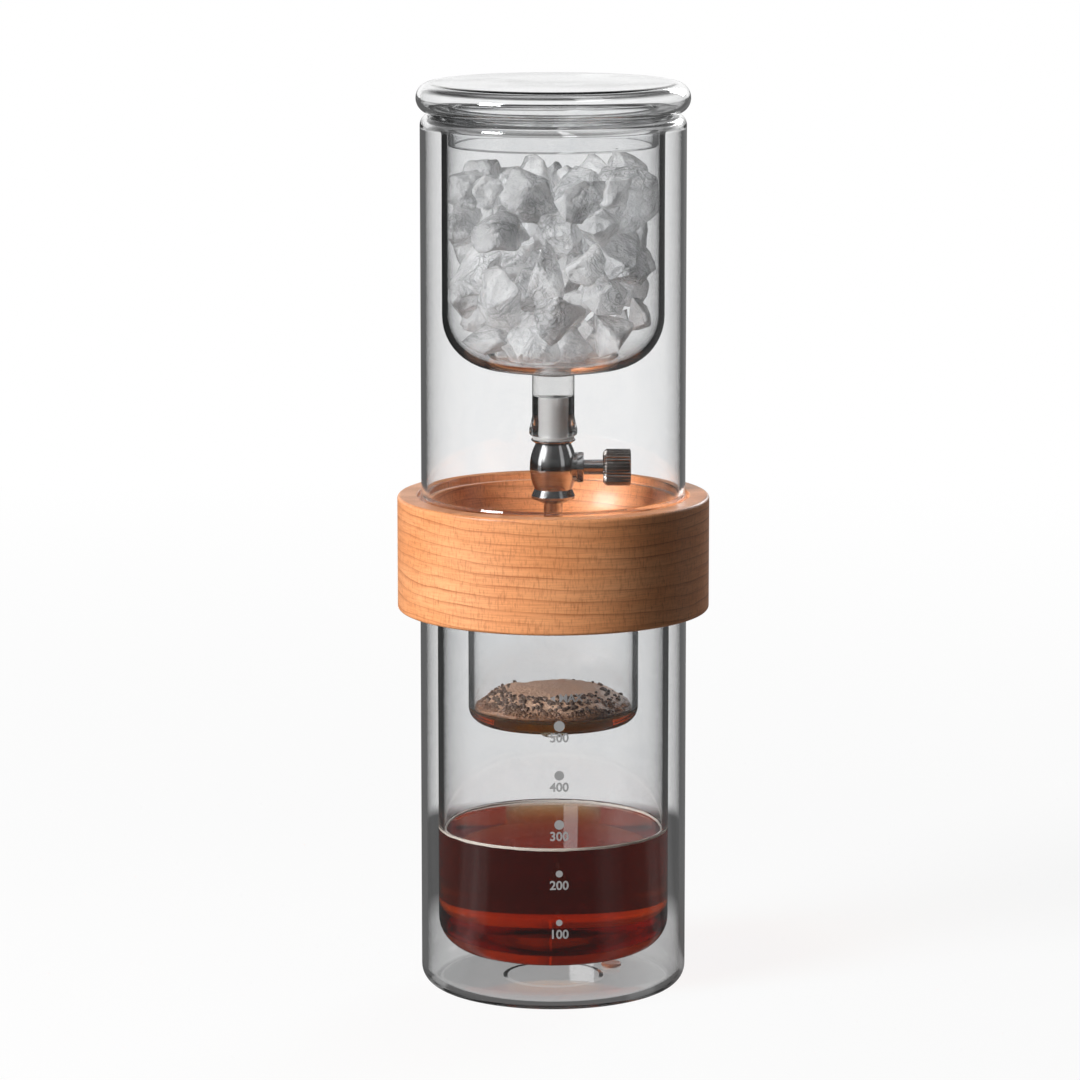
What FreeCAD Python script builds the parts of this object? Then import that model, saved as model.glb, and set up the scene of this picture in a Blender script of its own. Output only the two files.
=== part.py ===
import FreeCAD, Part
import math
import os

from FreeCAD import Vector

# Cold drip coffee tower, in millimetres.
# The origin is the centre of the carafe's base, +Z is up and the valve's knob points along +X.
# From the foot up: double-wall carafe, wooden collar with the brew cup hung in it,
# double-wall ice chamber with the drip valve under it, and the lid.

# Carafe: two glass walls fused at the rim
CARAFE_RADIUS = 50.0
CARAFE_HEIGHT = 152.5
CARAFE_WALL = 2.2
CARAFE_BASE = 2.6
CARAFE_FOOT_ROUND = 7.0
VESSEL_WALL = 2.0
VESSEL_GAP_BESIDE = 4.3
VESSEL_CORNER = 10.5
VESSEL_GAP_BELOW = 11.4
RIM_THICKNESS = 2.4
RIM_FLAT = 1.0
PUNT_RADIUS = 19.0
PUNT_HEIGHT = 0.8
PUNT_EDGE = 1.5

# Plug in the small hole through which the space between the carafe's walls breathes
VENT_HOLE_RADIUS = 2.6
VENT_FROM_CENTRE = 25.0
VENT_ANGLE = 27.0
VENT_PLUG_RECESS = 0.4
VENT_LIP_RADIUS = 3.8
VENT_LIP_THICKNESS = 1.2

# Wooden collar
COLLAR_RADIUS = 58.5
COLLAR_HEIGHT = 43.0
COLLAR_EDGE_ROUND = 1.2
COLLAR_INNER_EDGE_ROUND = 0.5
CARAFE_RECESS_DEPTH = 8.0
CARAFE_RECESS_PLAY = 1.0
MOUTH_BOSS_PLAY = 0.6
CHAMBER_RECESS_DEPTH = 2.0
CHAMBER_RECESS_PLAY = 1.2
CHAMBER_LEDGE_SHOWN = 1.0
DISH_DEPTH = 19.5
DISH_SAG = 2.0

# Brew cup, hung by its flange in the collar
CUP_RADIUS = 32.0
CUP_WALL = 2.0
CUP_CORNER = 6.0
CUP_BODY_DEPTH = 62.0
CUP_FLANGE_REACH = 4.0
CUP_FLANGE_THICKNESS = 2.8
CUP_FLANGE_ROUND = 1.1
CUP_FLANGE_PLAY = 1.0
CUP_BORE_PLAY = 0.6
CUP_SPOUT_RADIUS = 4.6
CUP_SPOUT_BORE_RADIUS = 2.3
CUP_SPOUT_LENGTH = 6.0
CUP_SPOUT_ROUND = 0.9
CUP_SPOUT_FILLET = 1.5

# Filter on the floor of the brew cup
GASKET_RADIUS = 16.5
GASKET_BORE_RADIUS = 13.5
GASKET_THICKNESS = 2.4
SCREEN_THICKNESS = 0.6
SCREEN_GRIP = 1.4
SCREEN_HOLE_RADIUS = 0.7
SCREEN_HOLE_PITCH = 3.1
SCREEN_HOLE_RINGS = 4
HOLES_PER_RING_STEP = 6

# Ice chamber: one piece of glass, a shell open below round an ice cup with a nozzle
CHAMBER_HEIGHT = 145.0
SHELL_RADIUS = 49.5
SHELL_WALL = 2.0
FOOT_BEAD_STEP = 0.3
FOOT_BEAD_HEIGHT = 3.2
FOOT_BEAD_ROUND = 0.9
ICE_CUP_GAP_BESIDE = 6.0
ICE_CUP_WALL = 2.0
ICE_CUP_CORNER = 17.75
ICE_CUP_DEPTH = 94.8
ICE_FLOOR_SLOPE = 0.13
NOZZLE_RADIUS = 7.9
NOZZLE_BORE_RADIUS = 5.75
NOZZLE_LENGTH = 23.7
NOZZLE_FLARE_RADIUS = 9.0
NOZZLE_FLARE_HEIGHT = 7.0
NOZZLE_LIP_HEIGHT = 2.3
NOZZLE_LIP_ROUND = 0.9
NOZZLE_MOUTH_ROUND = 1.5
NOZZLE_ROOT_FILLET = 1.2

# Silicone sleeve that holds the valve in the nozzle
SLEEVE_INSIDE = 14.7
SLEEVE_FLANGE_RADIUS = 7.8
SLEEVE_FLANGE_THICKNESS = 1.4
SLEEVE_FLANGE_ROUND = 0.5

# Valve body, turned, with its stem along +X
VALVE_AXIS_BELOW_SAUCER = 10.8
SPIGOT_RADIUS = 3.6
SPIGOT_BORE_RADIUS = 2.0
SPIGOT_LENGTH = 13.0
SPIGOT_CHAMFER = 0.6
SPIGOT_BORE_BELOW_SAUCER = 3.8
SAUCER_RADIUS = 8.25
SAUCER_EDGE = 0.5
NECK_RADIUS = 6.6
NECK_BELOW_SAUCER = 1.7
BARREL_RADIUS = 8.85
WAIST_RADIUS = 7.1
WAIST_BELOW_AXIS = 8.1
SKIRT_RADIUS = 8.25
SKIRT_TOP_BELOW_AXIS = 10.6
SKIRT_BOTTOM_BELOW_AXIS = 11.6
VALVE_BOTTOM_RADIUS = 5.4
VALVE_BOTTOM_BELOW_AXIS = 13.0
BOSS_RADIUS = 5.6
BOSS_REACH = 8.95
OUTLET_BORE_RADIUS = 1.8

# Tube that the drops fall from
SPOUT_RADIUS = 3.55
SPOUT_WALL = 1.1
SPOUT_SOCKET_DEPTH = 4.6
SPOUT_VISIBLE = 14.0
SPOUT_CHAMFER = 0.6

# Inside the valve, measured along the stem from the valve's centre line
SEAT_FACE_X = -2.6
SEAT_THICKNESS = 2.0
SEAT_RADIUS = 1.9
SEAT_ORIFICE_RADIUS = 0.8
SEAT_CAVITY_DEPTH = 1.8
SEAT_CAVITY_RADIUS = 1.3
PASSAGE_RADIUS = 0.8
PASSAGE_TOP_X = -0.8
PASSAGE_TOP_BELOW_SAUCER = 2.6
PASSAGE_END_X = -5.5
PASSAGE_END_ABOVE_AXIS = 0.5
RUNNING_CLEARANCE = 0.05
PACKING_FLOOR_X = 4.8
PACKING_RADIUS = 4.3
PACKING_THICKNESS = 1.8
FOLLOWER_THICKNESS = 0.8

# Gland nut
NUT_ACROSS_FLATS = 10.6
NUT_HEAD = 2.5
NUT_CHAMFER = 0.6

# Needle: it is stored open by half a turn from shut
THREAD_PITCH = 0.75
TURNS_FROM_SHUT = 0.5
NEEDLE_TAPER = 0.25
NEEDLE_TIP_RADIUS = 0.25
NEEDLE_SHANK_RADIUS = 1.6
NEEDLE_SHUT_CLEARANCE = 0.03
NEEDLE_IN_STEM = 3.4
NEEDLE_END_GAP = 0.2

# Stem
STEM_END_X = 1.6
STEM_THREAD_RADIUS = 2.5
STEM_THREAD_LENGTH = 2.8
STEM_UNDERCUT_RADIUS = 2.1
STEM_SHOULDER_X = 5.3
STEM_RADIUS = 2.85
STEM_KNOB_RADIUS = 2.3
STEM_FLAT_FROM_AXIS = 1.9
STEM_KNOB_REACH = 8.2
STEM_CHAMFER = 0.4

# Knob
KNOB_START_X = 18.6
KNOB_LENGTH = 10.4
KNOB_RADIUS = 6.9
KNOB_FLUTES = 32
KNOB_FLUTE_DEPTH = 0.4
KNOB_INNER_CHAMFER = 1.2
KNOB_OUTER_CHAMFER = 0.5
KNOB_FACE_DISH_RADIUS = 4.6
KNOB_FACE_DISH_DEPTH = 0.4
KNOB_BORE_END_GAP = 0.4

# Grub screw of the knob, on the side away from the marks
SCREW_RADIUS = 1.5
SCREW_FROM_KNOB_START = 5.2
SCREW_SUNK = 0.9
SCREW_SOCKET_ACROSS_FLATS = 1.5
SCREW_SOCKET_DEPTH = 1.6

# Lid: one glass wall that rolls round the edge and turns down into a skirt
LID_OVERHANG = 1.5
LID_THICKNESS = 11.4
LID_WALL = 1.7
LID_SKIRT_PLAY = 0.5
LID_SKIRT_WALL = 2.0
LID_SKIRT_DEPTH = 11.7
LID_SKIRT_FILLET = 1.5

# Radii that follow from the sizes above
vessel_radius = CARAFE_RADIUS - CARAFE_WALL - VESSEL_GAP_BESIDE
vessel_bore_radius = vessel_radius - VESSEL_WALL
cup_flange_radius = CUP_RADIUS + CUP_FLANGE_REACH
shell_bore_radius = SHELL_RADIUS - SHELL_WALL
bead_radius = SHELL_RADIUS + FOOT_BEAD_STEP
bead_bore_radius = shell_bore_radius - FOOT_BEAD_STEP
ice_cup_radius = shell_bore_radius - ICE_CUP_GAP_BESIDE
ice_cup_bore_radius = ice_cup_radius - ICE_CUP_WALL
dish_top_radius = bead_bore_radius - CHAMBER_LEDGE_SHOWN
lid_radius = SHELL_RADIUS + LID_OVERHANG

# Heights that follow from the sizes above
vessel_bottom_z = CARAFE_BASE + VESSEL_GAP_BELOW
vessel_floor_z = vessel_bottom_z + VESSEL_WALL
collar_bottom_z = CARAFE_HEIGHT - CARAFE_RECESS_DEPTH
collar_top_z = collar_bottom_z + COLLAR_HEIGHT
chamber_foot_z = collar_top_z - CHAMBER_RECESS_DEPTH
dish_bottom_z = chamber_foot_z - DISH_DEPTH
cup_seat_z = dish_bottom_z - CUP_FLANGE_THICKNESS
cup_bottom_z = cup_seat_z - CUP_BODY_DEPTH
cup_floor_z = cup_bottom_z + CUP_WALL
chamber_top_z = chamber_foot_z + CHAMBER_HEIGHT
ice_floor_z = chamber_top_z - ICE_CUP_DEPTH
nozzle_root_z = ice_floor_z - ICE_CUP_WALL
nozzle_end_z = nozzle_root_z - NOZZLE_LENGTH
saucer_z = nozzle_end_z - SLEEVE_FLANGE_THICKNESS
valve_axis_z = saucer_z - VALVE_AXIS_BELOW_SAUCER


def corner_arc(before, corner, after, radius):
    """Start, middle and end of the arc that rounds a corner."""
    back = (before - corner).normalize()
    ahead = (after - corner).normalize()
    half_angle = back.getAngle(ahead) / 2
    bisector = (back + ahead).normalize()
    centre = corner + bisector * (radius / math.sin(half_angle))
    reach = radius / math.tan(half_angle)
    return corner + back * reach, centre - bisector * radius, corner + ahead * reach


def outline(corners):
    """Closed face in the XZ plane, from corners (x, z) or (x, z, rounding radius).

    A corner (x, z, "through") lies on the arc from the corner before it to the one after.
    """
    places = [Vector(corner[0], 0, corner[1]) for corner in corners]
    marks = [corner[2] if len(corner) > 2 else 0 for corner in corners]
    count = len(corners)
    stations = []
    for i, (place, mark) in enumerate(zip(places, marks)):
        if mark == "through":
            stations.append(("through", place))
        elif mark:
            start, middle, end = corner_arc(places[i - 1], place, places[(i + 1) % count], mark)
            stations += [("line", start), ("through", middle), ("line", end)]
        else:
            stations.append(("line", place))
    edges = []
    for i, (kind, place) in enumerate(stations):
        following_kind, following = stations[(i + 1) % len(stations)]
        if kind == "through":
            before = stations[i - 1][1]
            edges.append(Part.Arc(before, place, following).toShape())
        elif following_kind == "line" and place.distanceToPoint(following) > 1e-6:
            edges.append(Part.makeLine(place, following))
    return Part.Face(Part.Wire(edges))


def turned(corners):
    """Solid turned about the Z axis from an outline."""
    return outline(corners).revolve(Vector(0, 0, 0), Vector(0, 0, 1), 360)


def rod(radius, start, end):
    """Solid cylinder from one point to another."""
    return Part.makeCylinder(radius, (end - start).Length, start, end - start)


def upright_rod(radius, low_z, high_z):
    """Solid cylinder on the Z axis."""
    return rod(radius, Vector(0, 0, low_z), Vector(0, 0, high_z))


def along_stem(shape):
    """Lays a shape made about the Z axis along the valve's stem."""
    laid = shape.copy()
    laid.rotate(Vector(0, 0, 0), Vector(0, 1, 0), 90)
    laid.translate(Vector(0, 0, valve_axis_z))
    return laid


def hexagon(across_flats, low_z, high_z):
    """Hexagonal bar on the Z axis."""
    corner_radius = across_flats / math.sqrt(3)
    corners = []
    for i in range(6):
        angle = math.radians(60 * i)
        corners.append(Vector(corner_radius * math.cos(angle), corner_radius * math.sin(angle), low_z))
    face = Part.Face(Part.makePolygon(corners + corners[:1]))
    return face.extrude(Vector(0, 0, high_z - low_z))


def one_solid(shape):
    """The single solid that a shape holds."""
    if len(shape.Solids) != 1:
        raise ValueError(f"one solid expected, {len(shape.Solids)} made")
    return shape.Solids[0]


# Carafe and its vent plug


def make_carafe():
    """Double-wall glass carafe: a turned body, less the space between its walls."""
    rim_round = (CARAFE_RADIUS - vessel_bore_radius - RIM_FLAT) / 2
    body = turned([
        (0, PUNT_HEIGHT),
        (PUNT_RADIUS - PUNT_EDGE, PUNT_HEIGHT),
        (PUNT_RADIUS, 0),
        (CARAFE_RADIUS, 0, CARAFE_FOOT_ROUND),
        (CARAFE_RADIUS, CARAFE_HEIGHT, rim_round),
        (vessel_bore_radius, CARAFE_HEIGHT, rim_round),
        (vessel_bore_radius, vessel_floor_z, VESSEL_CORNER),
        (0, vessel_floor_z),
    ])
    space_radius = CARAFE_RADIUS - CARAFE_WALL
    space_top_z = CARAFE_HEIGHT - RIM_THICKNESS
    space_round = (space_radius - vessel_radius) / 2
    space = turned([
        (0, CARAFE_BASE),
        (space_radius, CARAFE_BASE, CARAFE_FOOT_ROUND - CARAFE_WALL),
        (space_radius, space_top_z, space_round),
        (vessel_radius, space_top_z, space_round),
        (vessel_radius, vessel_bottom_z, VESSEL_CORNER + VESSEL_WALL),
        (0, vessel_bottom_z),
    ])
    vent = at_vent(upright_rod(VENT_HOLE_RADIUS, -CARAFE_BASE, CARAFE_BASE * 2))
    return body.cut(space).cut(vent)


def at_vent(shape):
    """Moves a shape made on the Z axis to the carafe's vent hole."""
    angle = math.radians(VENT_ANGLE)
    moved = shape.copy()
    moved.translate(Vector(math.cos(angle), math.sin(angle), 0) * VENT_FROM_CENTRE)
    return moved


def make_carafe_vent_plug():
    """Silicone plug with a lip inside the carafe's base."""
    lip_top_z = CARAFE_BASE + VENT_LIP_THICKNESS
    return at_vent(turned([
        (0, VENT_PLUG_RECESS),
        (VENT_HOLE_RADIUS, VENT_PLUG_RECESS),
        (VENT_HOLE_RADIUS, CARAFE_BASE),
        (VENT_LIP_RADIUS, CARAFE_BASE),
        (VENT_LIP_RADIUS, lip_top_z, VENT_LIP_THICKNESS / 2),
        (0, lip_top_z),
    ]))


# Wooden collar


def make_wood_collar():
    """Turned collar: a recess for the carafe's rim below, a ledge and a dish above."""
    carafe_recess_radius = CARAFE_RADIUS + CARAFE_RECESS_PLAY
    mouth_boss_radius = vessel_bore_radius - MOUTH_BOSS_PLAY
    chamber_recess_radius = bead_radius + CHAMBER_RECESS_PLAY
    flange_recess_radius = cup_flange_radius + CUP_FLANGE_PLAY
    bore_radius = CUP_RADIUS + CUP_BORE_PLAY
    dish_middle_radius = (dish_top_radius + flange_recess_radius) / 2
    dish_width = dish_top_radius - flange_recess_radius
    dish_chord = math.hypot(dish_width, DISH_DEPTH)
    dish_middle_z = chamber_foot_z - DISH_DEPTH / 2
    return turned([
        (COLLAR_RADIUS, collar_bottom_z, COLLAR_EDGE_ROUND),
        (COLLAR_RADIUS, collar_top_z, COLLAR_EDGE_ROUND),
        (chamber_recess_radius, collar_top_z, COLLAR_INNER_EDGE_ROUND),
        (chamber_recess_radius, chamber_foot_z),
        (dish_top_radius, chamber_foot_z),
        (
            dish_middle_radius + DISH_SAG * DISH_DEPTH / dish_chord,
            dish_middle_z - DISH_SAG * dish_width / dish_chord,
            "through",
        ),
        (flange_recess_radius, dish_bottom_z),
        (flange_recess_radius, cup_seat_z),
        (bore_radius, cup_seat_z),
        (bore_radius, collar_bottom_z, COLLAR_INNER_EDGE_ROUND),
        (mouth_boss_radius, collar_bottom_z),
        (mouth_boss_radius, CARAFE_HEIGHT),
        (carafe_recess_radius, CARAFE_HEIGHT),
        (carafe_recess_radius, collar_bottom_z),
    ])


# Brew cup and its filter


def make_brew_cup():
    """Glass cup with a flange round its mouth and a short spout under its floor."""
    spout_end_z = cup_bottom_z - CUP_SPOUT_LENGTH
    cup_top_z = cup_seat_z + CUP_FLANGE_THICKNESS
    bore_radius = CUP_RADIUS - CUP_WALL
    return turned([
        (CUP_SPOUT_BORE_RADIUS, spout_end_z),
        (CUP_SPOUT_RADIUS, spout_end_z, CUP_SPOUT_ROUND),
        (CUP_SPOUT_RADIUS, cup_bottom_z, CUP_SPOUT_FILLET),
        (CUP_RADIUS, cup_bottom_z, CUP_CORNER),
        (CUP_RADIUS, cup_seat_z),
        (cup_flange_radius, cup_seat_z, CUP_FLANGE_ROUND),
        (cup_flange_radius, cup_top_z, CUP_FLANGE_ROUND),
        (bore_radius, cup_top_z, CUP_FLANGE_ROUND),
        (bore_radius, cup_floor_z, CUP_CORNER - CUP_WALL),
        (CUP_SPOUT_BORE_RADIUS, cup_floor_z),
    ])


def make_filter_gasket():
    """Silicone ring with a groove that grips the screen's edge."""
    groove_low_z = cup_floor_z + (GASKET_THICKNESS - SCREEN_THICKNESS) / 2
    groove_high_z = groove_low_z + SCREEN_THICKNESS
    groove_radius = GASKET_BORE_RADIUS + SCREEN_GRIP
    top_z = cup_floor_z + GASKET_THICKNESS
    return turned([
        (GASKET_BORE_RADIUS, cup_floor_z),
        (GASKET_RADIUS, cup_floor_z),
        (GASKET_RADIUS, top_z),
        (GASKET_BORE_RADIUS, top_z),
        (GASKET_BORE_RADIUS, groove_high_z),
        (groove_radius, groove_high_z),
        (groove_radius, groove_low_z),
        (GASKET_BORE_RADIUS, groove_low_z),
    ])


def make_filter_screen():
    """Thin steel disc with rings of small holes."""
    low_z = cup_floor_z + (GASKET_THICKNESS - SCREEN_THICKNESS) / 2
    high_z = low_z + SCREEN_THICKNESS
    disc = upright_rod(GASKET_BORE_RADIUS + SCREEN_GRIP, low_z, high_z)
    holes = [upright_rod(SCREEN_HOLE_RADIUS, cup_floor_z, high_z + SCREEN_THICKNESS)]
    for ring in range(1, SCREEN_HOLE_RINGS + 1):
        hole_count = HOLES_PER_RING_STEP * ring
        for i in range(hole_count):
            angle = math.radians(360 * i / hole_count)
            hole = holes[0].copy()
            hole.translate(Vector(math.cos(angle), math.sin(angle), 0) * SCREEN_HOLE_PITCH * ring)
            holes.append(hole)
    return disc.cut(holes)


# Ice chamber and the sleeve in its nozzle


def make_ice_chamber():
    """Outer shell, ice cup and nozzle as one turned piece of glass, fused at the rim."""
    bead_top_z = chamber_foot_z + FOOT_BEAD_HEIGHT
    rim_round = (SHELL_RADIUS - ice_cup_bore_radius - RIM_FLAT) / 2
    space_top_z = chamber_top_z - RIM_THICKNESS
    space_round = (shell_bore_radius - ice_cup_radius) / 2
    floor_rise = ICE_FLOOR_SLOPE * (ice_cup_bore_radius - NOZZLE_BORE_RADIUS)
    underside_rise = ICE_FLOOR_SLOPE * (ice_cup_radius - NOZZLE_RADIUS)
    return turned([
        (bead_bore_radius, chamber_foot_z, FOOT_BEAD_ROUND),
        (bead_radius, chamber_foot_z, FOOT_BEAD_ROUND),
        (bead_radius, bead_top_z - FOOT_BEAD_STEP),
        (SHELL_RADIUS, bead_top_z),
        (SHELL_RADIUS, chamber_top_z, rim_round),
        (ice_cup_bore_radius, chamber_top_z, rim_round),
        (ice_cup_bore_radius, ice_floor_z + floor_rise, ICE_CUP_CORNER),
        (NOZZLE_BORE_RADIUS, ice_floor_z, NOZZLE_MOUTH_ROUND),
        (NOZZLE_BORE_RADIUS, nozzle_end_z, NOZZLE_LIP_ROUND),
        (NOZZLE_FLARE_RADIUS, nozzle_end_z, NOZZLE_LIP_ROUND),
        (NOZZLE_FLARE_RADIUS, nozzle_end_z + NOZZLE_LIP_HEIGHT, NOZZLE_LIP_ROUND),
        (NOZZLE_RADIUS, nozzle_end_z + NOZZLE_FLARE_HEIGHT, NOZZLE_FLARE_HEIGHT),
        (NOZZLE_RADIUS, nozzle_root_z, NOZZLE_ROOT_FILLET),
        (ice_cup_radius, nozzle_root_z + underside_rise, ICE_CUP_CORNER + ICE_CUP_WALL),
        (ice_cup_radius, space_top_z, space_round),
        (shell_bore_radius, space_top_z, space_round),
        (shell_bore_radius, bead_top_z),
        (bead_bore_radius, bead_top_z - FOOT_BEAD_STEP),
    ])


def make_outlet_sleeve():
    """Silicone sleeve in the nozzle, with a flange that the valve is pushed up to."""
    sleeve_top_z = nozzle_end_z + SLEEVE_INSIDE
    return turned([
        (SPIGOT_RADIUS, saucer_z),
        (SLEEVE_FLANGE_RADIUS, saucer_z, SLEEVE_FLANGE_ROUND),
        (SLEEVE_FLANGE_RADIUS, nozzle_end_z, SLEEVE_FLANGE_ROUND),
        (NOZZLE_BORE_RADIUS, nozzle_end_z),
        (NOZZLE_BORE_RADIUS, sleeve_top_z),
        (SPIGOT_RADIUS, sleeve_top_z),
    ])


# Drip valve


def make_valve_body():
    """Turned body with a spigot, a saucer, a barrel and a skirt, bored for stem, seat and flow."""
    spigot_top_z = saucer_z + SPIGOT_LENGTH
    neck_z = saucer_z - NECK_BELOW_SAUCER
    waist_z = valve_axis_z - WAIST_BELOW_AXIS
    skirt_top_z = valve_axis_z - SKIRT_TOP_BELOW_AXIS
    skirt_bottom_z = valve_axis_z - SKIRT_BOTTOM_BELOW_AXIS
    bottom_z = valve_axis_z - VALVE_BOTTOM_BELOW_AXIS
    body = turned([
        (0, spigot_top_z),
        (SPIGOT_RADIUS - SPIGOT_CHAMFER, spigot_top_z),
        (SPIGOT_RADIUS, spigot_top_z - SPIGOT_CHAMFER),
        (SPIGOT_RADIUS, saucer_z),
        (SAUCER_RADIUS, saucer_z),
        (SAUCER_RADIUS, saucer_z - SAUCER_EDGE),
        (NECK_RADIUS, neck_z),
        (BARREL_RADIUS, valve_axis_z, "through"),
        (WAIST_RADIUS, waist_z),
        (SKIRT_RADIUS, skirt_top_z),
        (SKIRT_RADIUS, skirt_bottom_z),
        (VALVE_BOTTOM_RADIUS, bottom_z),
        (0, bottom_z),
    ])
    body = body.fuse(along_stem(upright_rod(BOSS_RADIUS, 0, BOSS_REACH)))
    seat_back_x = SEAT_FACE_X - SEAT_THICKNESS
    spigot_bore_z = saucer_z - SPIGOT_BORE_BELOW_SAUCER
    socket_top_z = bottom_z + SPOUT_SOCKET_DEPTH
    passage_top = Vector(PASSAGE_TOP_X, 0, saucer_z - PASSAGE_TOP_BELOW_SAUCER)
    passage_end = Vector(PASSAGE_END_X, 0, valve_axis_z + PASSAGE_END_ABOVE_AXIS)
    stem_bore_radius = STEM_THREAD_RADIUS + RUNNING_CLEARANCE
    bores = [
        along_stem(upright_rod(stem_bore_radius, SEAT_FACE_X, PACKING_FLOOR_X)),
        along_stem(upright_rod(SEAT_RADIUS, seat_back_x, SEAT_FACE_X)),
        along_stem(upright_rod(SEAT_CAVITY_RADIUS, seat_back_x - SEAT_CAVITY_DEPTH, seat_back_x)),
        along_stem(upright_rod(PACKING_RADIUS, PACKING_FLOOR_X, BOSS_REACH)),
        upright_rod(SPIGOT_BORE_RADIUS, spigot_bore_z, spigot_top_z),
        upright_rod(OUTLET_BORE_RADIUS, socket_top_z, valve_axis_z),
        upright_rod(SPOUT_RADIUS, bottom_z, socket_top_z),
        rod(PASSAGE_RADIUS, passage_top, passage_end),
    ]
    return body.cut(bores)


def make_valve_spout():
    """Straight tube pressed into the bottom of the valve."""
    bore_radius = SPOUT_RADIUS - SPOUT_WALL
    socket_bottom_z = valve_axis_z - VALVE_BOTTOM_BELOW_AXIS
    top_z = socket_bottom_z + SPOUT_SOCKET_DEPTH
    end_z = socket_bottom_z - SPOUT_VISIBLE
    return turned([
        (bore_radius, top_z),
        (SPOUT_RADIUS, top_z),
        (SPOUT_RADIUS, end_z + SPOUT_CHAMFER),
        (SPOUT_RADIUS - SPOUT_CHAMFER, end_z),
        (bore_radius, end_z),
    ])


def make_valve_seat():
    """Small bush whose orifice the needle opens and shuts."""
    back_x = SEAT_FACE_X - SEAT_THICKNESS
    return along_stem(turned([
        (SEAT_ORIFICE_RADIUS, back_x),
        (SEAT_RADIUS, back_x),
        (SEAT_RADIUS, SEAT_FACE_X),
        (SEAT_ORIFICE_RADIUS, SEAT_FACE_X),
    ]))


def stem_ring(outer_radius, start_x, thickness):
    """Plain ring round the stem, with running clearance in its bore."""
    bore_radius = STEM_RADIUS + RUNNING_CLEARANCE
    return along_stem(turned([
        (bore_radius, start_x),
        (outer_radius, start_x),
        (outer_radius, start_x + thickness),
        (bore_radius, start_x + thickness),
    ]))


def make_stem_packing():
    """Soft ring that seals the stem."""
    return stem_ring(PACKING_RADIUS, PACKING_FLOOR_X, PACKING_THICKNESS)


def make_packing_follower():
    """Washer through which the gland nut presses the packing."""
    return stem_ring(PACKING_RADIUS, PACKING_FLOOR_X + PACKING_THICKNESS, FOLLOWER_THICKNESS)


def make_gland_nut():
    """Hexagon-headed nut screwed into the valve's side, bored for the stem."""
    shank_start_x = PACKING_FLOOR_X + PACKING_THICKNESS + FOLLOWER_THICKNESS
    head_end_x = BOSS_REACH + NUT_HEAD
    corner_radius = NUT_ACROSS_FLATS / math.sqrt(3)
    bore_radius = STEM_RADIUS + RUNNING_CLEARANCE
    head = hexagon(NUT_ACROSS_FLATS, BOSS_REACH, head_end_x).common(turned([
        (0, BOSS_REACH),
        (corner_radius, BOSS_REACH),
        (corner_radius, head_end_x - NUT_CHAMFER),
        (corner_radius - NUT_CHAMFER * 2, head_end_x),
        (0, head_end_x),
    ]))
    shank = upright_rod(PACKING_RADIUS, shank_start_x, BOSS_REACH)
    nut = head.fuse(shank).cut(upright_rod(bore_radius, shank_start_x, head_end_x))
    return along_stem(nut)


def make_valve_needle():
    """Tapered needle whose shank sits in the stem's end."""
    drawn_back = THREAD_PITCH * TURNS_FROM_SHUT
    shut_radius = SEAT_ORIFICE_RADIUS - NEEDLE_SHUT_CLEARANCE
    radius_at_seat = shut_radius - drawn_back * NEEDLE_TAPER
    tip_x = SEAT_FACE_X - (radius_at_seat - NEEDLE_TIP_RADIUS) / NEEDLE_TAPER
    shank_x = SEAT_FACE_X + (NEEDLE_SHANK_RADIUS - radius_at_seat) / NEEDLE_TAPER
    end_x = STEM_END_X + NEEDLE_IN_STEM
    return along_stem(turned([
        (0, tip_x),
        (NEEDLE_TIP_RADIUS, tip_x),
        (NEEDLE_SHANK_RADIUS, shank_x),
        (NEEDLE_SHANK_RADIUS, end_x),
        (0, end_x),
    ]))


def make_valve_stem():
    """Stem from the needle through the gland to the knob, with a flat for the grub screw."""
    socket_radius = NEEDLE_SHANK_RADIUS + RUNNING_CLEARANCE
    socket_end_x = STEM_END_X + NEEDLE_IN_STEM + NEEDLE_END_GAP
    thread_end_x = STEM_END_X + STEM_THREAD_LENGTH
    end_x = KNOB_START_X + STEM_KNOB_REACH
    stem = along_stem(turned([
        (0, socket_end_x),
        (socket_radius, socket_end_x),
        (socket_radius, STEM_END_X),
        (STEM_THREAD_RADIUS, STEM_END_X),
        (STEM_THREAD_RADIUS, thread_end_x),
        (STEM_UNDERCUT_RADIUS, thread_end_x),
        (STEM_UNDERCUT_RADIUS, STEM_SHOULDER_X),
        (STEM_RADIUS, STEM_SHOULDER_X),
        (STEM_RADIUS, KNOB_START_X),
        (STEM_KNOB_RADIUS, KNOB_START_X),
        (STEM_KNOB_RADIUS, end_x - STEM_CHAMFER),
        (STEM_KNOB_RADIUS - STEM_CHAMFER, end_x),
        (0, end_x),
    ]))
    flat_low_z = valve_axis_z - STEM_RADIUS
    flat = Part.makeBox(
        STEM_KNOB_REACH,
        STEM_KNOB_RADIUS,
        STEM_RADIUS * 2,
        Vector(KNOB_START_X + SCREW_FROM_KNOB_START - SCREW_RADIUS, STEM_FLAT_FROM_AXIS, flat_low_z),
    )
    return stem.cut(flat)


def fluted_bar(radius, depth, flutes, low_z, high_z):
    """Bar on the Z axis with straight V flutes."""
    corners = []
    for i in range(flutes * 2):
        angle = math.pi * i / flutes
        corner_radius = radius - depth * (i % 2)
        corners.append(Vector(corner_radius * math.cos(angle), corner_radius * math.sin(angle), low_z))
    face = Part.Face(Part.makePolygon(corners + corners[:1]))
    return face.extrude(Vector(0, 0, high_z - low_z))


def screw_axis_point(from_axis):
    """Point on the grub screw's axis at a distance from the stem's axis."""
    return Vector(KNOB_START_X + SCREW_FROM_KNOB_START, from_axis, valve_axis_z)


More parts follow.
